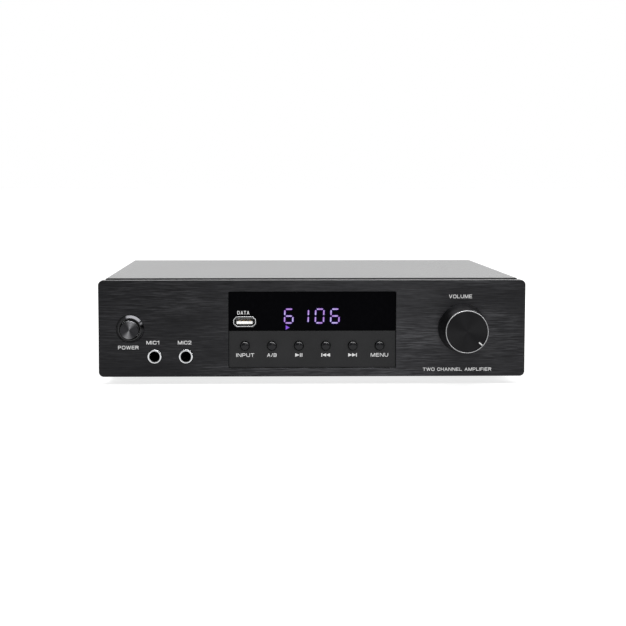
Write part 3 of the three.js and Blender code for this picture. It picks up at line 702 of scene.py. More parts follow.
def winding():
    """Varnished copper turns under clear tape."""
    finish = Finish("winding", (0.40, 0.18, 0.05), 0.28, 0.6, Coat_Weight=0.6)
    strands = finish.between(finish.noise((0.5, 0.5, 0.15), 4), 0.42, 0.58)
    finish.colour(strands, (0.16, 0.06, 0.015), (0.52, 0.25, 0.08))
    finish.rough(strands, 0.22, 0.4)
    finish.bump(strands, 0.12)
    return finish.material


def floor_paper():
    """Pale studio paper, lit a little from behind so that its shadows stay soft."""
    finish = Finish(
        "floor_paper", (0.28, 0.28, 0.28), 0.9,
        Specular_IOR_Level=0.1, Emission_Color=(1, 1, 1, 1), Emission_Strength=0.72,
    )
    finish.colour(finish.noise(0.02, 3), (0.27, 0.27, 0.27), (0.29, 0.29, 0.29))
    return finish.material


BRUSHED = brushed_panel()
STRIP = satin_moulding("key_strip", (0.010, 0.0102, 0.011), 0.5, specular=0.24)
LENS = polished_plastic("display_lens", (0.0006, 0.0006, 0.0010), 0.06, 0.012, 0.04)
KEY_CAP = polished_plastic("key_cap", (0.006, 0.006, 0.007), 0.12, 0.2)
KNOB_SIDE = spun_metal(
    "knob_side", (0.013, 0.013, 0.014), (0.022, 0.022, 0.024), 0.36, plan("volume_knob"), 0
)
# The knob's face and the power cap have painted highlight fans in their colour; the knob's side has
# none.
KNOB_FACE = spun_metal(
    "knob_face", (0.015, 0.015, 0.016), (0.022, 0.022, 0.023), 0.45, plan("volume_knob"), 3, 60
)
SPUN = spun_metal(
    "spun_button", (0.026, 0.026, 0.028), (0.24, 0.24, 0.25), 0.28, plan("power_button"), 10
)
DARK_CHROME = plated_metal("dark_chrome", (0.033, 0.033, 0.035), 0.15)
CHROME = plated_metal("chrome", (0.60, 0.61, 0.62), 0.12)
TRIM = plated_metal("trim_silver", (0.46, 0.46, 0.47), 0.38)
NICKEL = plated_metal("plated_steel", (0.62, 0.63, 0.64), 0.25)
# Dark metal inside the port and the mic rings' bores: painted shade in those recesses.
SHADED_BORE_METAL = plated_metal("port_tube", (0.05, 0.05, 0.052), 0.35)
GOLD = plated_metal("gold_plate", (0.85, 0.60, 0.26), 0.2)
PAINT = painted_steel()
TRAY = sheet_steel("tray_steel", (0.55, 0.56, 0.57), 0.38, (0.06, 2.4, 2.4))
MOULDING = satin_moulding("matte_black", (0.016, 0.016, 0.017), 0.48, 0.02)
# Near-black: the mic jacks' own bodies, and painted shade inside the power ring's bore.
BORE = satin_moulding("bore_black", (0.004, 0.004, 0.004), 0.6)
RUBBER = satin_moulding("foot_rubber", (0.012, 0.012, 0.012), 0.75, 0.03)
INSULATOR = satin_moulding("port_insulator", (0.82, 0.82, 0.80), 0.45, 0.006)
LEVER_RED = polished_plastic("lever_red", (0.42, 0.012, 0.016), 0.28)
SOCKET_RED = polished_plastic("socket_red", (0.50, 0.015, 0.018), 0.3)
SOCKET_WHITE = polished_plastic("socket_white", (0.78, 0.78, 0.76), 0.3)
BOARD = circuit_board()
COPPER = winding()
FINS = sheet_steel("bare_aluminium", (0.62, 0.63, 0.64), 0.36, (2.4, 2.4, 0.06))
SLEEVE = polished_plastic("capacitor_sleeve", (0.012, 0.022, 0.060), 0.3)
RIBBON = satin_moulding("ribbon", (0.30, 0.31, 0.32), 0.5)
SHEATH = satin_moulding("lead_sheath", (0.012, 0.012, 0.013), 0.4)
LIT = lit("lit_bar", (0.50, 0.27, 0.74), (0.60, 0.52, 0.90), 1.0)
LIT_MARK = lit("lit_mark", (0.26, 0.09, 0.70), (0.34, 0.15, 0.85), 1.0)
GLOWS = [
    lit(f"lit_glow_{i + 1}", (0.20, 0.03, 0.62), (0.16, 0.05, 0.80), strength)
    for i, strength in enumerate((0.26, 0.08, 0.02))
]
INK_WHITE = ink()

# --- Front panel ---


def front_panel():
    power, knob = middle("power_bezel"), middle("volume_knob")
    sockets = [middle(f"mic_bushing_{i}") for i in (1, 2)]
    outline = front_view(PANEL_LOW, PANEL_HIGH, PANEL_CORNER, 12)
    window = front_view(*ends("control_bezel"), WINDOW_CORNER, margin=WINDOW_MARGIN)
    holes = [window, circle(power.x, power.z, POWER_HOLE), circle(knob.x, knob.z, KNOB_HOLE)]
    holes += [circle(spot.x, spot.z, MIC_HOLE) for spot in sockets]
    shape = plate(outline, holes, FACE, PANEL_HIGH.y, PANEL_BEVEL)
    piece("front_plate", shape, BRUSHED, ["front_panel"], smooth=50)


def control_bezel():
    """The key strip, the ledge that holds the lens, and a rim back to the board."""
    low, high = ends("control_bezel")
    lens_low, lens_high = ends("display_lens")
    port, display = middle("media_port_shell"), middle("led_display")
    port_low, port_high = ends("media_port_shell")
    lens_gap, strip_bevel, ledge_depth, port_overlap = 0.2, 0.18, 4.3, 1
    display_width, display_height = 41.4, 14.4
    ledge_rear = low.y + ledge_depth
    strip = plate(
        rectangle(low.x, high.x, low.z, lens_low.z - lens_gap, BEZEL_CORNER, 3),
        [circle(spot.x, spot.z, KEY_HOLE) for spot in map(middle, KEY_NODES)],
        low.y, ledge_rear, strip_bevel,
    )
    port_size = port_high.x - port_low.x, port_high.z - port_low.z - port_overlap
    ledge = plate(
        rectangle(low.x, high.x, lens_low.z, high.z, BEZEL_CORNER, 2),
        [
            rectangle_round(display.x, display.z, display_width, display_height, BEZEL_CORNER, 2),
            rectangle_round(port.x, port.z, *port_size, BEZEL_CORNER, 2),
        ],
        lens_high.y + 0.3, ledge_rear,
    )
    rim = plate(
        front_view(low, high, BEZEL_CORNER, 2),
        [front_view(low, high, BEZEL_CORNER, 2, -BEZEL_WALL)],
        ledge_rear, high.y,
    )
    piece("control_moulding", joined(strip, ledge, rim), STRIP, ["control_bezel"])


def display_lens():
    low, high = ends("display_lens")
    port = middle("media_port_shell")
    width, height, cut = 13.9, 6.5, 1.2
    hole = cut_corner_rectangle(port.x, port.z, width, height, cut)
    shape = plate(front_view(low, high, 0.5, 4), [hole], low.y, high.y, 0.12)
    piece("lens", shape, LENS, ["display_lens"])


def bar_polygon(start, end, width):
    """A lit bar between two points, itself pointed at both ends."""
    along = (end - start).normalized() * width / 2
    across = Vector((-along.y, along.x))
    return [
        start, start + along + across, end - along + across,
        end, end - along - across, start + along - across,
    ]


def digit_bars(value, cx, cz, width):
    """The lit bars of one seven-segment digit, which lean a little."""
    half, tall = (DIGIT["width"] - DIGIT["bar"]) / 2, (DIGIT["height"] - DIGIT["bar"]) / 2
    bars = {
        "a": ((-half, tall), (half, tall)), "g": ((-half, 0), (half, 0)),
        "d": ((-half, -tall), (half, -tall)), "f": ((-half, 0), (-half, tall)),
        "b": ((half, 0), (half, tall)), "e": ((-half, -tall), (-half, 0)),
        "c": ((half, -tall), (half, 0)),
    }
    polygons = []
    spread = (width - DIGIT["bar"]) / 2
    for name in SEGMENTS[value]:
        start, end = map(Vector, bars[name])
        inset = (end - start).normalized() * (DIGIT["gap"] - spread)
        polygon = bar_polygon(start + inset, end - inset, width)
        polygons.append([(cx + p.x + p.y * DIGIT["slant"], cz + p.y) for p in polygon])
    return polygons


def display():
    """Digits and a small play mark, lit through the lens, with layers of glow round them."""
    cx, cz = plan("led_display")
    cx, cz = cx + 0.55, cz - 0.35
    first = cx - DIGIT["pitch"] * (len(DIGITS) - 1) / 2
    mark_x, mark_z, mark = first - 0.9, cz - 7.55, 1.3
    layer = 0.012

    def number(extra):
        bars = []
        for i, value in enumerate(DIGITS):
            bars += digit_bars(value, first + i * DIGIT["pitch"], cz, DIGIT["bar"] + extra)
        return bars

    def play_mark(extra):
        reach = mark + extra / 2
        corners = ((-0.8, -1), (1, 0), (-0.8, 1))
        return [[(mark_x + x * reach, mark_z + z * reach) for x, z in corners]]

    front = LENS_FACE - layer * (len(GLOW_STEPS) + 1)
    rear = LENS_FACE + layer
    piece("lit_digits", raised(number(0), front, rear), LIT)
    piece("lit_mark", raised(play_mark(0), front, rear), LIT_MARK)
    for i, extra in enumerate(GLOW_STEPS):
        shape = raised(number(extra) + play_mark(extra), front + layer * (i + 1), rear)
        piece(f"digit_glow_{i + 1}", shape, GLOWS[i])


def keys():
    cap, flange, stem, flange_front, flange_rear = 2.85, 4.1, 1.6, 3.1, 2.1
    for name, node in zip(KEYS, KEY_NODES):
        low, high, spot = span(node)
        profile = [
            (0, low.y, 0), (cap * 0.5, low.y + 0.07, 0.5), (cap - 0.5, low.y + 0.28, 0.1),
            (cap, low.y + 0.82, 0.15), (cap, high.y - flange_front, 0),
            (flange, high.y - flange_front, 0.1), (flange, high.y - flange_rear, 0.1),
            (stem, high.y - flange_rear, 0), (stem, high.y, 0.2), (0, high.y, 0),
        ]
        piece(f"{name}_cap", turned(profile, spot, 64), KEY_CAP, [node], node)


def media_port():
    """A thin bright flared edge round an opening whose walls are darkened as painted shade, with
    the white tongue low inside.
    """
    low, high = ends("media_port_shell")
    x, z = plan("media_port_shell")
    width, height = high.x - low.x - 0.6, high.z - low.z - 0.9
    edge, wall, overlap = 0.45, 1.0, 0.3
    mouth = width - 2 * wall, height - 2 * wall
    inside = width - 2 * edge, height - 2 * edge
    inner = rectangle_round(x, z, *mouth, 0.5, 4)
    lip = plate(
        cut_corner_rectangle(x, z, width, height, 2.0),
        [cut_corner_rectangle(x, z, *inside, 1.75)],
        low.y, low.y + 0.6, 0.12,
    )
    flare = plate(
        cut_corner_rectangle(x, z, inside[0] + overlap, inside[1] + overlap, 1.2),
        [inner], low.y + 0.5, low.y + 0.9, 0.1,
    )
    throat = plate(
        rectangle_round(x, z, mouth[0] + 0.7, mouth[1] + 0.7, 0.8, 4), [inner], low.y + 0.8, high.y
    )
    piece("port_lip", lip, NICKEL, ["media_port_shell"])
    piece("port_tube", joined(flare, throat), SHADED_BORE_METAL)


def media_port_tongue():
    """The port's insulator, with four gilt contacts on its upper side."""
    low, high = ends("media_port_tongue")
    x, z = plan("media_port_shell")
    half, thick, top = 5.3, 1.9, z + 0.1
    tongue = block((x - half, low.y, top - thick), (x + half, high.y - 1.4, top), 0.2)
    plug = block((low.x, high.y - 1.8, low.z), high, 0.1)
    piece(
        "port_tongue", joined(tongue, plug), INSULATOR, ["media_port_tongue"]
    )
    contacts = [
        block(
            (x + step - 0.5, low.y + 0.5, top - 0.02), (x + step + 0.5, high.y - 2.4, top + 0.25),
            0.08,
        )
        for step in (-3.5, -1.0, 1.0, 3.5)
    ]
    piece("port_contacts", joined(*contacts), GOLD)


def power_ring():
    """The raised ring round the power button, its inner lip and bore near-black as painted shade.
    """
    spot = middle("power_bezel")
    rear = ends("power_bezel")[1].y
    ring, bore, sleeve, bore_front = 9.3, 6.6, 7.3, FACE - 2.6
    profile = [
        (bore, rear, 0), (bore, bore_front, 0.4), (bore + 0.7, bore_front, 0.4),
        (ring - 0.1, FACE - 0.5, 0.3), (ring, FACE - RING_BACK, 0.1),
        (sleeve, FACE - RING_BACK, 0), (sleeve, rear, 0),
    ]
    # The faces inside the bore take the near-black bore material, as painted shade.
    shape = painted(turned(profile, spot, 128), 1, within(bore + 0.6, spot))
    piece("power_ring", shape, [DARK_CHROME, BORE], ["power_bezel"])


def power_button():
    """A spun metal cap on a square moulded stem."""
    low, high, spot = span("power_button")
    cap, half, rear = 5.95, 1.8, FACE + 4
    profile = [
        (0, low.y, 0), (cap - 0.3, low.y, 0.1), (cap, low.y + 0.3, 0.15), (cap, rear, 0.1),
        (0, rear, 0),
    ]
    shape = turned(profile, spot, 128)
    painted(shape, 1, lambda face: face.calc_center_median().y > low.y + 0.6)
    stem = block(
        (spot.x - half, rear - 0.5, spot.z - half), (spot.x + half, high.y, spot.z + half), 0.2
    )
    piece(
        "power_cap", joined(shape, painted(stem, 1)), [SPUN, MOULDING],
        ["power_button"], "power_button",
    )


def mic_sockets():
    """A plated ring round each bore, darkened inside the bore as painted shade, and a sprung
    contact inside.
    """
    bore, ring, sleeve = 3.2, 4.85, 4.5
    for i in (1, 2):
        node = f"mic_bushing_{i}"
        low, high, spot = span(node)
        profile = [
            (bore, high.y, 0), (bore, low.y + 0.15, 0.5), (bore + 0.75, low.y, 0.35),
            (ring - 0.35, low.y + 0.1, 0.4), (ring, FACE - RING_BACK, 0.3),
            (sleeve, FACE - RING_BACK, 0), (sleeve, high.y, 0),
        ]
        # The faces inside the bore take the dark metal, as painted shade.
        shape = painted(turned(profile, spot), 1, within(bore + 0.35, spot))
        piece(f"mic_ring_{i}", shape, [CHROME, SHADED_BORE_METAL], [node])
        coat(f"mic_jack_{i}", BORE)
        leaf = block(
            (spot.x + 2.1, FACE + 12, spot.z - 0.9), (spot.x + 2.5, FACE + 20, spot.z + 0.9), 0.1
        )
        piece(f"mic_contact_{i}", leaf, NICKEL)


def volume_knob():
    """A hollow tapered knob with a spun face, a bright trim ring and a pointer line."""
    low, high, spot = span("volume_knob")
    ring_low, ring_high = ends("knob_trim_ring")
    top, base, outer = low.y, (high.x - low.x) / 2, (ring_high.x - ring_low.x) / 2
    rim, inner = base - 1.9, outer - 0.43
    wall, floor, hub, bore, gap = 2.2, top + 4.2, 5, 3.1, 0.05
    profile = [
        (0, top, 0), (inner - gap, top, 0.1), (inner - gap, top + 0.5, 0),
        (rim - gap, top + 0.5, 0.1), (rim + 0.15, top + 1.4, 0.3),
        (base - 0.25, high.y - 1.4, 0.6), (base, high.y - 0.9, 0.2), (base, high.y, 0.15),
        (base - wall, high.y, 0), (rim - wall, floor, 0), (hub, floor, 0), (hub, high.y - 1, 0),
        (bore, high.y - 1, 0), (bore, top + 5, 0), (0, top + 5, 0),
    ]
    shape = turned(profile, spot, 160)
    painted(shape, 1, lambda face: face.calc_center_median().y < top + 0.1)
    piece(
        "knob", shape, [KNOB_SIDE, KNOB_FACE], ["volume_knob"], "volume_control"
    )
    profile = [
        (inner, ring_high.y, 0), (inner, ring_low.y, 0.08), (outer - 0.15, ring_low.y, 0.1),
        (outer, ring_low.y + 0.2, 0.1), (outer, ring_high.y, 0),
    ]
    shape = turned(profile, spot, 160)
    piece("trim_ring", shape, TRIM, ["knob_trim_ring"], "volume_control")
    start, end, half = POINTER["inner"], POINTER["outer"], POINTER["width"] / 2
    line = plate(rectangle(start, end, -half, half, 0.15, 3), [], top - gap, top + gap)
    moved(line, (spot.x, 0, spot.z), -POINTER["angle"], "Y")
    piece("knob_pointer", line, INK_WHITE, body="volume_control")


# --- Lettering ---


def ribbon(corners, width):
    """Quads along a line through (x, y, softness) corners, with mitred joints and square ends."""
    bends = softened([(*corner, 0)[:3] for corner in corners], False)
    points = bends[:1] + [b for a, b in zip(bends, bends[1:]) if (b - a).length > TINY]
    steps = [(b - a).normalized() for a, b in zip(points, points[1:])]
    points[0] = points[0] - steps[0] * width / 2
    points[-1] = points[-1] + steps[-1] * width / 2
    sides = []
    for point, before, after in zip(points, [steps[0], *steps], [*steps, steps[-1]]):
        along = (before + after).normalized()
        across = Vector((-along.y, along.x)) * width / 2 / along.dot(after)
        sides.append((point - across, point + across))
    return [(a, c, d, b) for (a, b), (c, d) in zip(sides, sides[1:])]


def lettering(text, cx, cz, width, height=CAPITAL, mirrored=False):
    """Polygons for a line of capitals, widened to fill a width, for a face drawn in XZ."""
    thick = STROKE * height
    glyphs = [LETTERS[letter] for letter in text]
    gaps = LETTER_GAP * height * (len(text) - 1)
    stretch = (width - gaps) / sum(glyph[0] for glyph in glyphs)
    side = -1 if mirrored else 1
    polygons = []
    left = -width / 2
    for share, strokes, slopes in glyphs:
        wide = share * stretch
        inner = Vector((wide - thick, height - thick))
        foot = Vector((left + thick / 2, (thick - height) / 2))
        for stroke in strokes:
            corners = [
                (foot.x + x * inner.x, foot.y + y * inner.y, *[bend * height for bend in soft])
                for x, y, *soft in stroke
            ]
            polygons += ribbon(corners, thick)
        for low, high in slopes:
            x0, x1 = foot.x + low * inner.x, foot.x + high * inner.x
            lean = thick / 2 * math.hypot(1, (x1 - x0) / height)
            polygons.append([
                (x0 - lean, -height / 2), (x0 + lean, -height / 2),
                (x1 + lean, height / 2), (x1 - lean, height / 2),
            ])
        left += wide + LETTER_GAP * height
    return [[(cx + side * x, cz + z) for x, z in polygon] for polygon in polygons]


def triangle(x0, x1, cz, height):
    return [(x0, cz - height / 2), (x1, cz), (x0, cz + height / 2)]


def bar(x0, x1, cz, height):
    low, high = cz - height / 2, cz + height / 2
    return [(x0, low), (x1, low), (x1, high), (x0, high)]


def transport_symbols(drop):
    """Play and pause, previous, and next, under their keys."""
    play, back, forward = [middle(f"{name}_key") for name in ("play_pause", "previous", "next")]
    cz = play.z - drop
    polygons = [triangle(play.x - 2.35, play.x + 0.5, cz, CAPITAL)]
    for start, end in ((0.75, 1.25), (1.85, 2.35)):
        polygons.append(bar(play.x + start, play.x + end, cz, CAPITAL))
    for spot, side in ((back, -1), (forward, 1)):
        for start, end in ((-2.9, -0.2), (-0.3, 2.3)):
            polygons.append(triangle(spot.x + side * start, spot.x + side * end, cz, CAPITAL))
        edges = sorted((spot.x + side * 2.3, spot.x + side * 2.85))
        polygons.append(bar(*edges, cz, CAPITAL))
    return polygons


def printed(words, face, signs=(), mirrored=False):
    """Words, each as lettering() takes it, and signs, in ink on a face."""
    polygons = []
    for word in words:
        polygons += lettering(*word, mirrored=mirrored)
    return raised([*polygons, *signs], face - INK, face + INK)


def front_lettering():
    drop = 6.1
    power, knob, port = middle("power_bezel"), middle("volume_knob"), middle("media_port_shell")
    socket_1, socket_2 = middle("mic_bushing_1"), middle("mic_bushing_2")
    source, speakers, menu = [middle(f"{name}_key") for name in ("input", "speaker_ab", "menu")]
    row = source.z - drop
    on_panel = [
        ("POWER", power.x - 1.2, power.z - 12.2, 13.4),
        ("MIC1", socket_1.x - 1.1, socket_1.z + 9.1, 8.3),
        ("MIC2", socket_2.x - 0.8, socket_2.z + 9.1, 8.8),
        ("VOLUME", knob.x - 1.3, knob.z + 21.0, 15.2),
        ("TWO CHANNEL AMPLIFIER", knob.x - 3.1, PANEL_LOW.z + 4.6, 45.1, 2.1),
    ]
    on_strip = [
        ("INPUT", source.x + 0.2, row, 11.8),
        ("A/B", speakers.x, row, 6.3),
        ("MENU", menu.x, row, 11.5),
    ]
    on_lens = [("DATA", port.x - 0.8, port.z + 5.8, 7.9)]
    shape = joined(
        printed(on_panel, FACE),
        printed(on_strip, ends("control_bezel")[0].y, transport_symbols(drop)),
        printed(on_lens, LENS_FACE),
    )
    piece("front_lettering", shape, INK_WHITE)


# --- Case ---


def pan_screw(head, height, shank, length):
    """A cross-recessed pan-head screw along Y, its head towards -Y and its seat at 0.

    Its head and shank are given as radii.
    """
    body = turned(
        [
            (0, -height, 0), (head * 0.62, -height, head * 0.3), (head, -height * 0.3, head * 0.18),
            (head, 0, 0.05), (shank, 0, 0), (shank, length, 0.3), (0, length, 0),
        ],
        sides=48,
    )
    wide, narrow, deep = head * 1.15, head * 0.26, height * 0.62
    arms = [
        block((-a / 2, -height - 1, -b / 2), (a / 2, -height + deep, b / 2))
        for a, b in ((wide, narrow), (narrow, wide))
    ]
    return carved(body, *arms)


def side_screws():
    half = ends("top_cover")[1].x
    for end in ("front", "rear"):
        for side, turn in (("left", -90), ("right", 90)):
            node = f"cover_screw_{end}_{side}"
            spot = middle(node)
            spot.x = half if side == "right" else -half
            shape = moved(pan_screw(3, 1.8, 1.45, 7), spot, turn)
            piece(f"side_screw_{end}_{side}", shape, PAINT, [node])


def feet():
    """Rubber pads, each held by a screw sunk in its middle."""
    bore, recess, recess_depth, chamfer = 1.9, 5, 3, 1
    for end in ("front", "rear"):
        for side in ("left", "right"):
            node = f"foot_{end}_{side}"
            low, high, spot = span(node)
            outer, tall = (high.x - low.x) / 2, high.z
            profile = [
                (bore, recess_depth, 0), (recess, recess_depth, 0), (recess, 0, 0.3),
                (outer - chamfer, 0, 0.6), (outer - 0.4, 1.2, 0.4), (outer, tall - 0.8, 0.5),
                (outer - 0.2, tall, 0), (bore, tall, 0),
            ]
            pad = moved(turned(profile), (spot.x, spot.y, 0), 90, "X")
            piece(f"foot_pad_{end}_{side}", pad, RUBBER, [node])
            seat = (spot.x, spot.y, recess_depth - 0.05)
            screw = moved(pan_screw(3.4, 2, 1.6, 4.2), seat, 90, "X")
            piece(f"foot_screw_{end}_{side}", screw, NICKEL)


def metalwork():
    cover_low, cover_high = ends("top_cover")
    cover = refined("top_cover", 0.14, rounded=edge_at(cover_low.y, cover_high.z), radius=0.55)
    piece("cover", cover, PAINT, ["top_cover"])
    piece("rear_plate", refined("rear_panel", 0.12), PAINT, ["rear_panel"])
    piece("tray", refined("chassis_tray", 0.1), TRAY, ["chassis_tray"])


def rear_screws():
    inset, lower_inset, centre, seat = 5, 6, 8, REAR_FACE + 0.02
    screws = [
        moved(pan_screw(2.8, 1.6, 1.3, 6), (x, seat, z), 180)
        for x in (REAR_LOW.x + inset, centre, REAR_HIGH.x - inset)
        for z in (REAR_HIGH.z - inset, REAR_LOW.z + lower_inset)
    ]
    piece("rear_screws", joined(*screws), PAINT)


# --- Rear sockets ---


def phono_sockets():
    """Four gilt shells on one housing, each with a coloured insulator and collar."""
    low, high, spot = span("phono_sockets")
    shell_front = REAR_FACE - 4
    shell_profile = [
        (3.4, high.y, 0), (3.4, high.y - 0.01, 0), (3.4, shell_front, 0), (4.05, shell_front, 0),
        (4.05, high.y - 0.7, 0.3), (3.7, high.y, 0.1),
    ]
    ring_profile = tube(1.65, 3.35, REAR_FACE - 2, high.y - 0.6, 0.15, 0.15)
    collar_profile = tube(4.2, 5.6, REAR_FACE + 0.05, REAR_FACE + 1, 0.1, 0.3)
    shells, rings = [], []
    across, up = PHONO_OFFSET
    for x, number in ((spot.x - across, 1), (spot.x + across, 0)):
        for z in (spot.z - up, spot.z + up):
            shells.append(turned(shell_profile, (x, 0, z), 64))
            rings.append(painted(turned(ring_profile, (x, 0, z), 48), number))
            rings.append(painted(turned(collar_profile, (x, 0, z), 64), number))
    housing = block(low, (high.x, REAR_LOW.y - HOUSING_GAP, high.z), 0.4)
    piece("phono_housing", housing, MOULDING, ["phono_sockets"])
    piece("phono_shells", joined(*shells), GOLD)
    piece("phono_rings", joined(*rings), [SOCKET_RED, SOCKET_WHITE])


def aerial_socket():
    """A threaded barrel with a six-sided flange, and an insulator round its contact."""
    low, high, spot = span("aerial_socket")
    barrel, bore, core, hexagon = 4.7, 3.2, 0.7, 6.9  # radii
    turns, pitch, groove = 6, 0.85, 0.35
    thread = [(barrel, REAR_FACE + 2.2, 0)]
    for i in range(turns):
        depth = REAR_FACE + 2.5 + i * pitch
        thread += [(barrel, depth, 0), (barrel - groove, depth + pitch / 2, 0)]
    profile = [
        (bore, REAR_FACE - 2, 0), (bore, high.y, 0.1), (barrel - 0.3, high.y, 0.2),
        *reversed(thread), (barrel, REAR_FACE - 2, 0),
    ]
    body = turned(profile, spot, 64)
    flange = plate(
        circle(spot.x, spot.z, hexagon, 6), [circle(spot.x, spot.z, barrel + 0.1)],
        REAR_FACE + 0.1, REAR_FACE + 2.3, 0.25,
    )
    side_gap = 0.4
    housing = block(
        (low.x + side_gap, low.y, low.z), (high.x - side_gap, REAR_LOW.y - HOUSING_GAP, high.z), 0.4
    )
    piece("aerial_barrel", joined(body, flange, housing), NICKEL, ["aerial_socket"])
    profile = tube(core, bore - 0.05, REAR_FACE - 1, high.y - 0.5, 0.2, 0.1)
    piece("aerial_core", turned(profile, spot, 48), INSULATOR)


def mains_inlet():
    inlet = refined("mains_inlet", 0.25)
    piece("inlet_moulding", inlet, MOULDING, ["mains_inlet"])
    radius = 1.2
    for i in (1, 2):
        node = f"inlet_pin_{i}"
        low, high, spot = span(node)
        profile = [(0, low.y, 0), (radius, low.y, 0.1), (radius, high.y, 0.9), (0, high.y, 0)]
        piece(f"mains_pin_{i}", turned(profile, spot, 32), NICKEL, [node])


def speaker_terminals():
    shape = refined("speaker_terminals", 0.2)
    piece("terminal_block", shape, MOULDING, ["speaker_terminals"])
    for i, node in enumerate(LEVERS):
        material, slot = (MOULDING, "matte_black") if i % 2 else (LEVER_RED, "lever_red")
        piece(f"lever_{i + 1}", refined(node, 0.3, 20), material, [node], node)


def rear_lettering():
    terminals, phono = middle("speaker_terminals"), middle("phono_sockets")
    aerial, inlet = middle("aerial_socket"), middle("mains_inlet")
    block_low, block_high = ends("speaker_terminals")
    phono_low, phono_high = ends("phono_sockets")
    across, up = PHONO_OFFSET
    words = [
        ("SPEAKERS", terminals.x, block_high.z + 3, 19),
        ("LINE IN", phono.x, phono_high.z + 3.4, 14),
        ("AERIAL", aerial.x, aerial.z + 9.6, 13),
        ("MAINS IN", inlet.x, inlet.z + 12.4, 17),
        ("L", phono.x - across, phono_low.z - 2.2, 1.8),
        ("R", phono.x + across, phono_low.z - 2.2, 2.0),
        ("1", phono.x - 16, phono.z + up, 1.2),
        ("2", phono.x - 16, phono.z - up, 2.0),
        ("A", block_high.x + 4, terminals.z + 8.5, 2.8, 3),
        ("B", block_high.x + 4, terminals.z - 8.5, 2.6, 3),
    ]
    for i, lever in enumerate(LEVERS[:4]):
        sign = "-" if i % 2 else "+"
        words.append((sign, middle(lever).x, block_low.z - 2.4, 1.9, 1.9))
    shape = printed(words, REAR_FACE, mirrored=True)
    piece("rear_lettering", shape, INK_WHITE)


# --- Inside ---


def insides():
    """Better materials on the CAD parts inside the case."""
    coats = (
        (BOARD, ["front_board", "main_board"]),
        (MOULDING, ["led_display", "power_switch", "amplifier_chip"]),
        (NICKEL, ["encoder_shaft", "encoder_body", "encoder_nut"]),
        (NICKEL, ["transformer_bolt", "tuner_module"]),
        (COPPER, ["power_transformer"]),
        (FINS, ["heat_sink"]),
        (SLEEVE, ["filter_capacitor_1", "filter_capacitor_2"]),
        (RIBBON, ["ribbon_cable"]),
        (SHEATH, ["mains_lead"]),
    )
    for material, nodes in coats:
        for node in nodes:
            coat(node, material)


def key_switches():
    """A small square switch with a round plunger behind each key."""
    board = ends("front_board")[0].y
    half, depth, plunger, travel = 3, 2.6, 1.7, 0.6
    shapes = []
    for _, key, spot in map(span, KEY_NODES):
        front = (spot.x - half, board - depth, spot.z - half)
        shapes.append(block(front, (spot.x + half, board - 0.1, spot.z + half), 0.2))
        tip, root = key.y + travel, board - depth + 0.1
        profile = [(0, tip, 0), (plunger, tip, 0.1), (plunger, root, 0), (0, root, 0)]
        shapes.append(turned(profile, spot, 24))
    piece("key_switches", joined(*shapes), MOULDING)


def board_screws():
    low, high = ends("main_board")
    inset, seat = 6, high.z + 0.02
    screws = [
        moved(pan_screw(2.6, 1.5, 1.2, 1.4), (x, y, seat), -90, "X")
        for x in (low.x + inset, high.x - inset)
        for y in (low.y + inset, high.y - inset)
    ]
    piece("board_screws", joined(*screws), NICKEL)


# --- Studio ---

FLOOR_SIZE = 40  # metres


def camera():
    """Seen square-on, from a little left of the middle and a little above the cover."""
    view = bpy.data.cameras.new("camera")
    view.sensor_width = 36
    view.lens = 70.05
    view.shift_x = 0.0499
    view.shift_y = -0.0699
    thing = added("camera", view)
    distance, left, above = 793.4, -33.9, 64.3  # from the middle of the panel's upper edge
    thing.location = Vector((left, FACE - distance, PANEL_HIGH.z + above)) * MM
    down, right = math.radians(4.115), math.radians(1)
    thing.rotation_euler = (math.pi / 2 - down, 0, -right)
    bpy.context.scene.camera = thing


def level_aim(spot, target):
    """The turn that points a light at its target with its width along X."""
    back = (Vector(spot) - Vector(target)).normalized()
    across = (Vector((1, 0, 0)) - back * back.x).normalized()
    return Matrix((across, back.cross(across), back)).transposed().to_euler()


def softbox(name, spot, target, width, height, power):
    """A rectangular light. Its places and sizes are in metres, and its power in watts."""
    light = bpy.data.lights.new(name, "AREA")
    light.shape = "RECTANGLE"
    light.size = width
    light.size_y = height
    light.energy = power
    thing = added(name, light)
    thing.location = spot
    thing.rotation_euler = level_aim(spot, target)
    thing.visible_camera = False


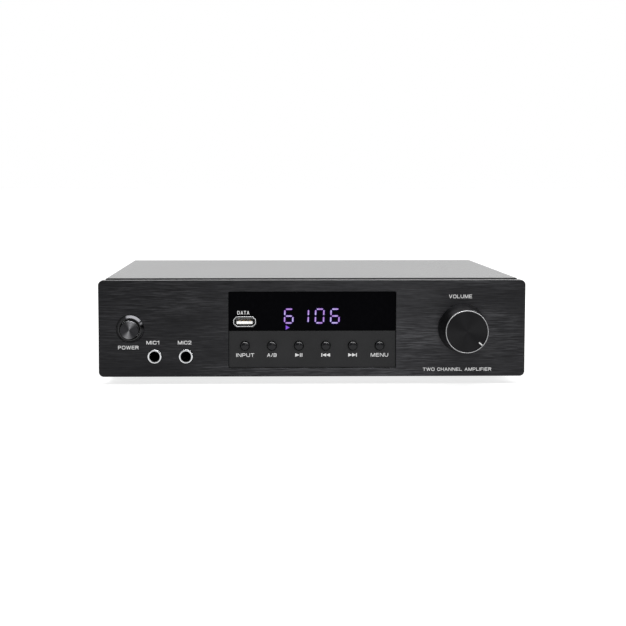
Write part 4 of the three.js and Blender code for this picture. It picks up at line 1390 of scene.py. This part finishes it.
def sheet(name, width, height, material):
    """A flat sheet across Z that belongs to the studio, with its sizes in metres."""
    shape = bmesh.new()
    bmesh.ops.create_grid(shape, x_segments=1, y_segments=1, size=0.5)
    shape.transform(Matrix.Diagonal((width, height, 1, 1)))
    mesh = mesh_of(name, shape)
    mesh.materials.append(material)
    thing = added(name, mesh)
    return thing


def card(name, spot, target, width, height, colour):
    """A sheet of card that glossy surfaces mirror, but that is not seen and shades nothing."""
    thing = sheet(name, width, height, Finish(name, colour, 0.9).material)
    thing.location = spot
    aim = Vector(target) - Vector(spot)
    thing.rotation_euler = aim.to_track_quat("-Z", "Y").to_euler()
    for kind in ("camera", "diffuse", "shadow", "transmission"):
        setattr(thing, f"visible_{kind}", False)


def studio():
    world = bpy.data.worlds.new("studio")
    world.use_nodes = True
    background = world.node_tree.nodes["Background"].inputs
    background["Color"].default_value = (1, 1, 1, 1)
    background["Strength"].default_value = 1.0
    bpy.context.scene.world = world
    bpy.context.scene.view_settings.view_transform = "Standard"
    sheet("floor", FLOOR_SIZE, FLOOR_SIZE, floor_paper())
    softbox("key_light", (0.13, -1.1, 0.45), (0.0, -0.1, 0.04), 0.22, 0.6, 1.6)
    softbox("top_light", (0.38, -0.16, 1.2), (0.38, -0.1, 0.05), 2.04, 0.2, 21)
    softbox("knob_light", (-0.5, 0.4, 1.1), (0.1, -0.1, 0.04), 0.6, 0.35, 5)
    softbox("side_light", (1.0, -0.18, 0.55), (-0.12, -0.1, 0.05), 0.2, 0.6, 3)
    softbox("back_light", (0.15, 1.5, 0.95), (0.0, 0.0, 0.05), 2.2, 0.6, 9.6)
    black = (0.01, 0.01, 0.01)
    card("front_card", (0, -1.6, 0.55), (0, 0, 0.05), 3.4, 1.5, black)
    card("right_card", (1.6, -0.4, 0.5), (0, 0, 0.05), 1.4, 1.2, black)


# --- The receiver ---

camera()
studio()
front_panel()
control_bezel()
display_lens()
display()
keys()
media_port()
media_port_tongue()
power_ring()
power_button()
mic_sockets()
volume_knob()
front_lettering()
metalwork()
rear_screws()
side_screws()
feet()
phono_sockets()
aerial_socket()
mains_inlet()
speaker_terminals()
rear_lettering()
insides()
key_switches()
board_screws()

bpy.context.view_layer.update()
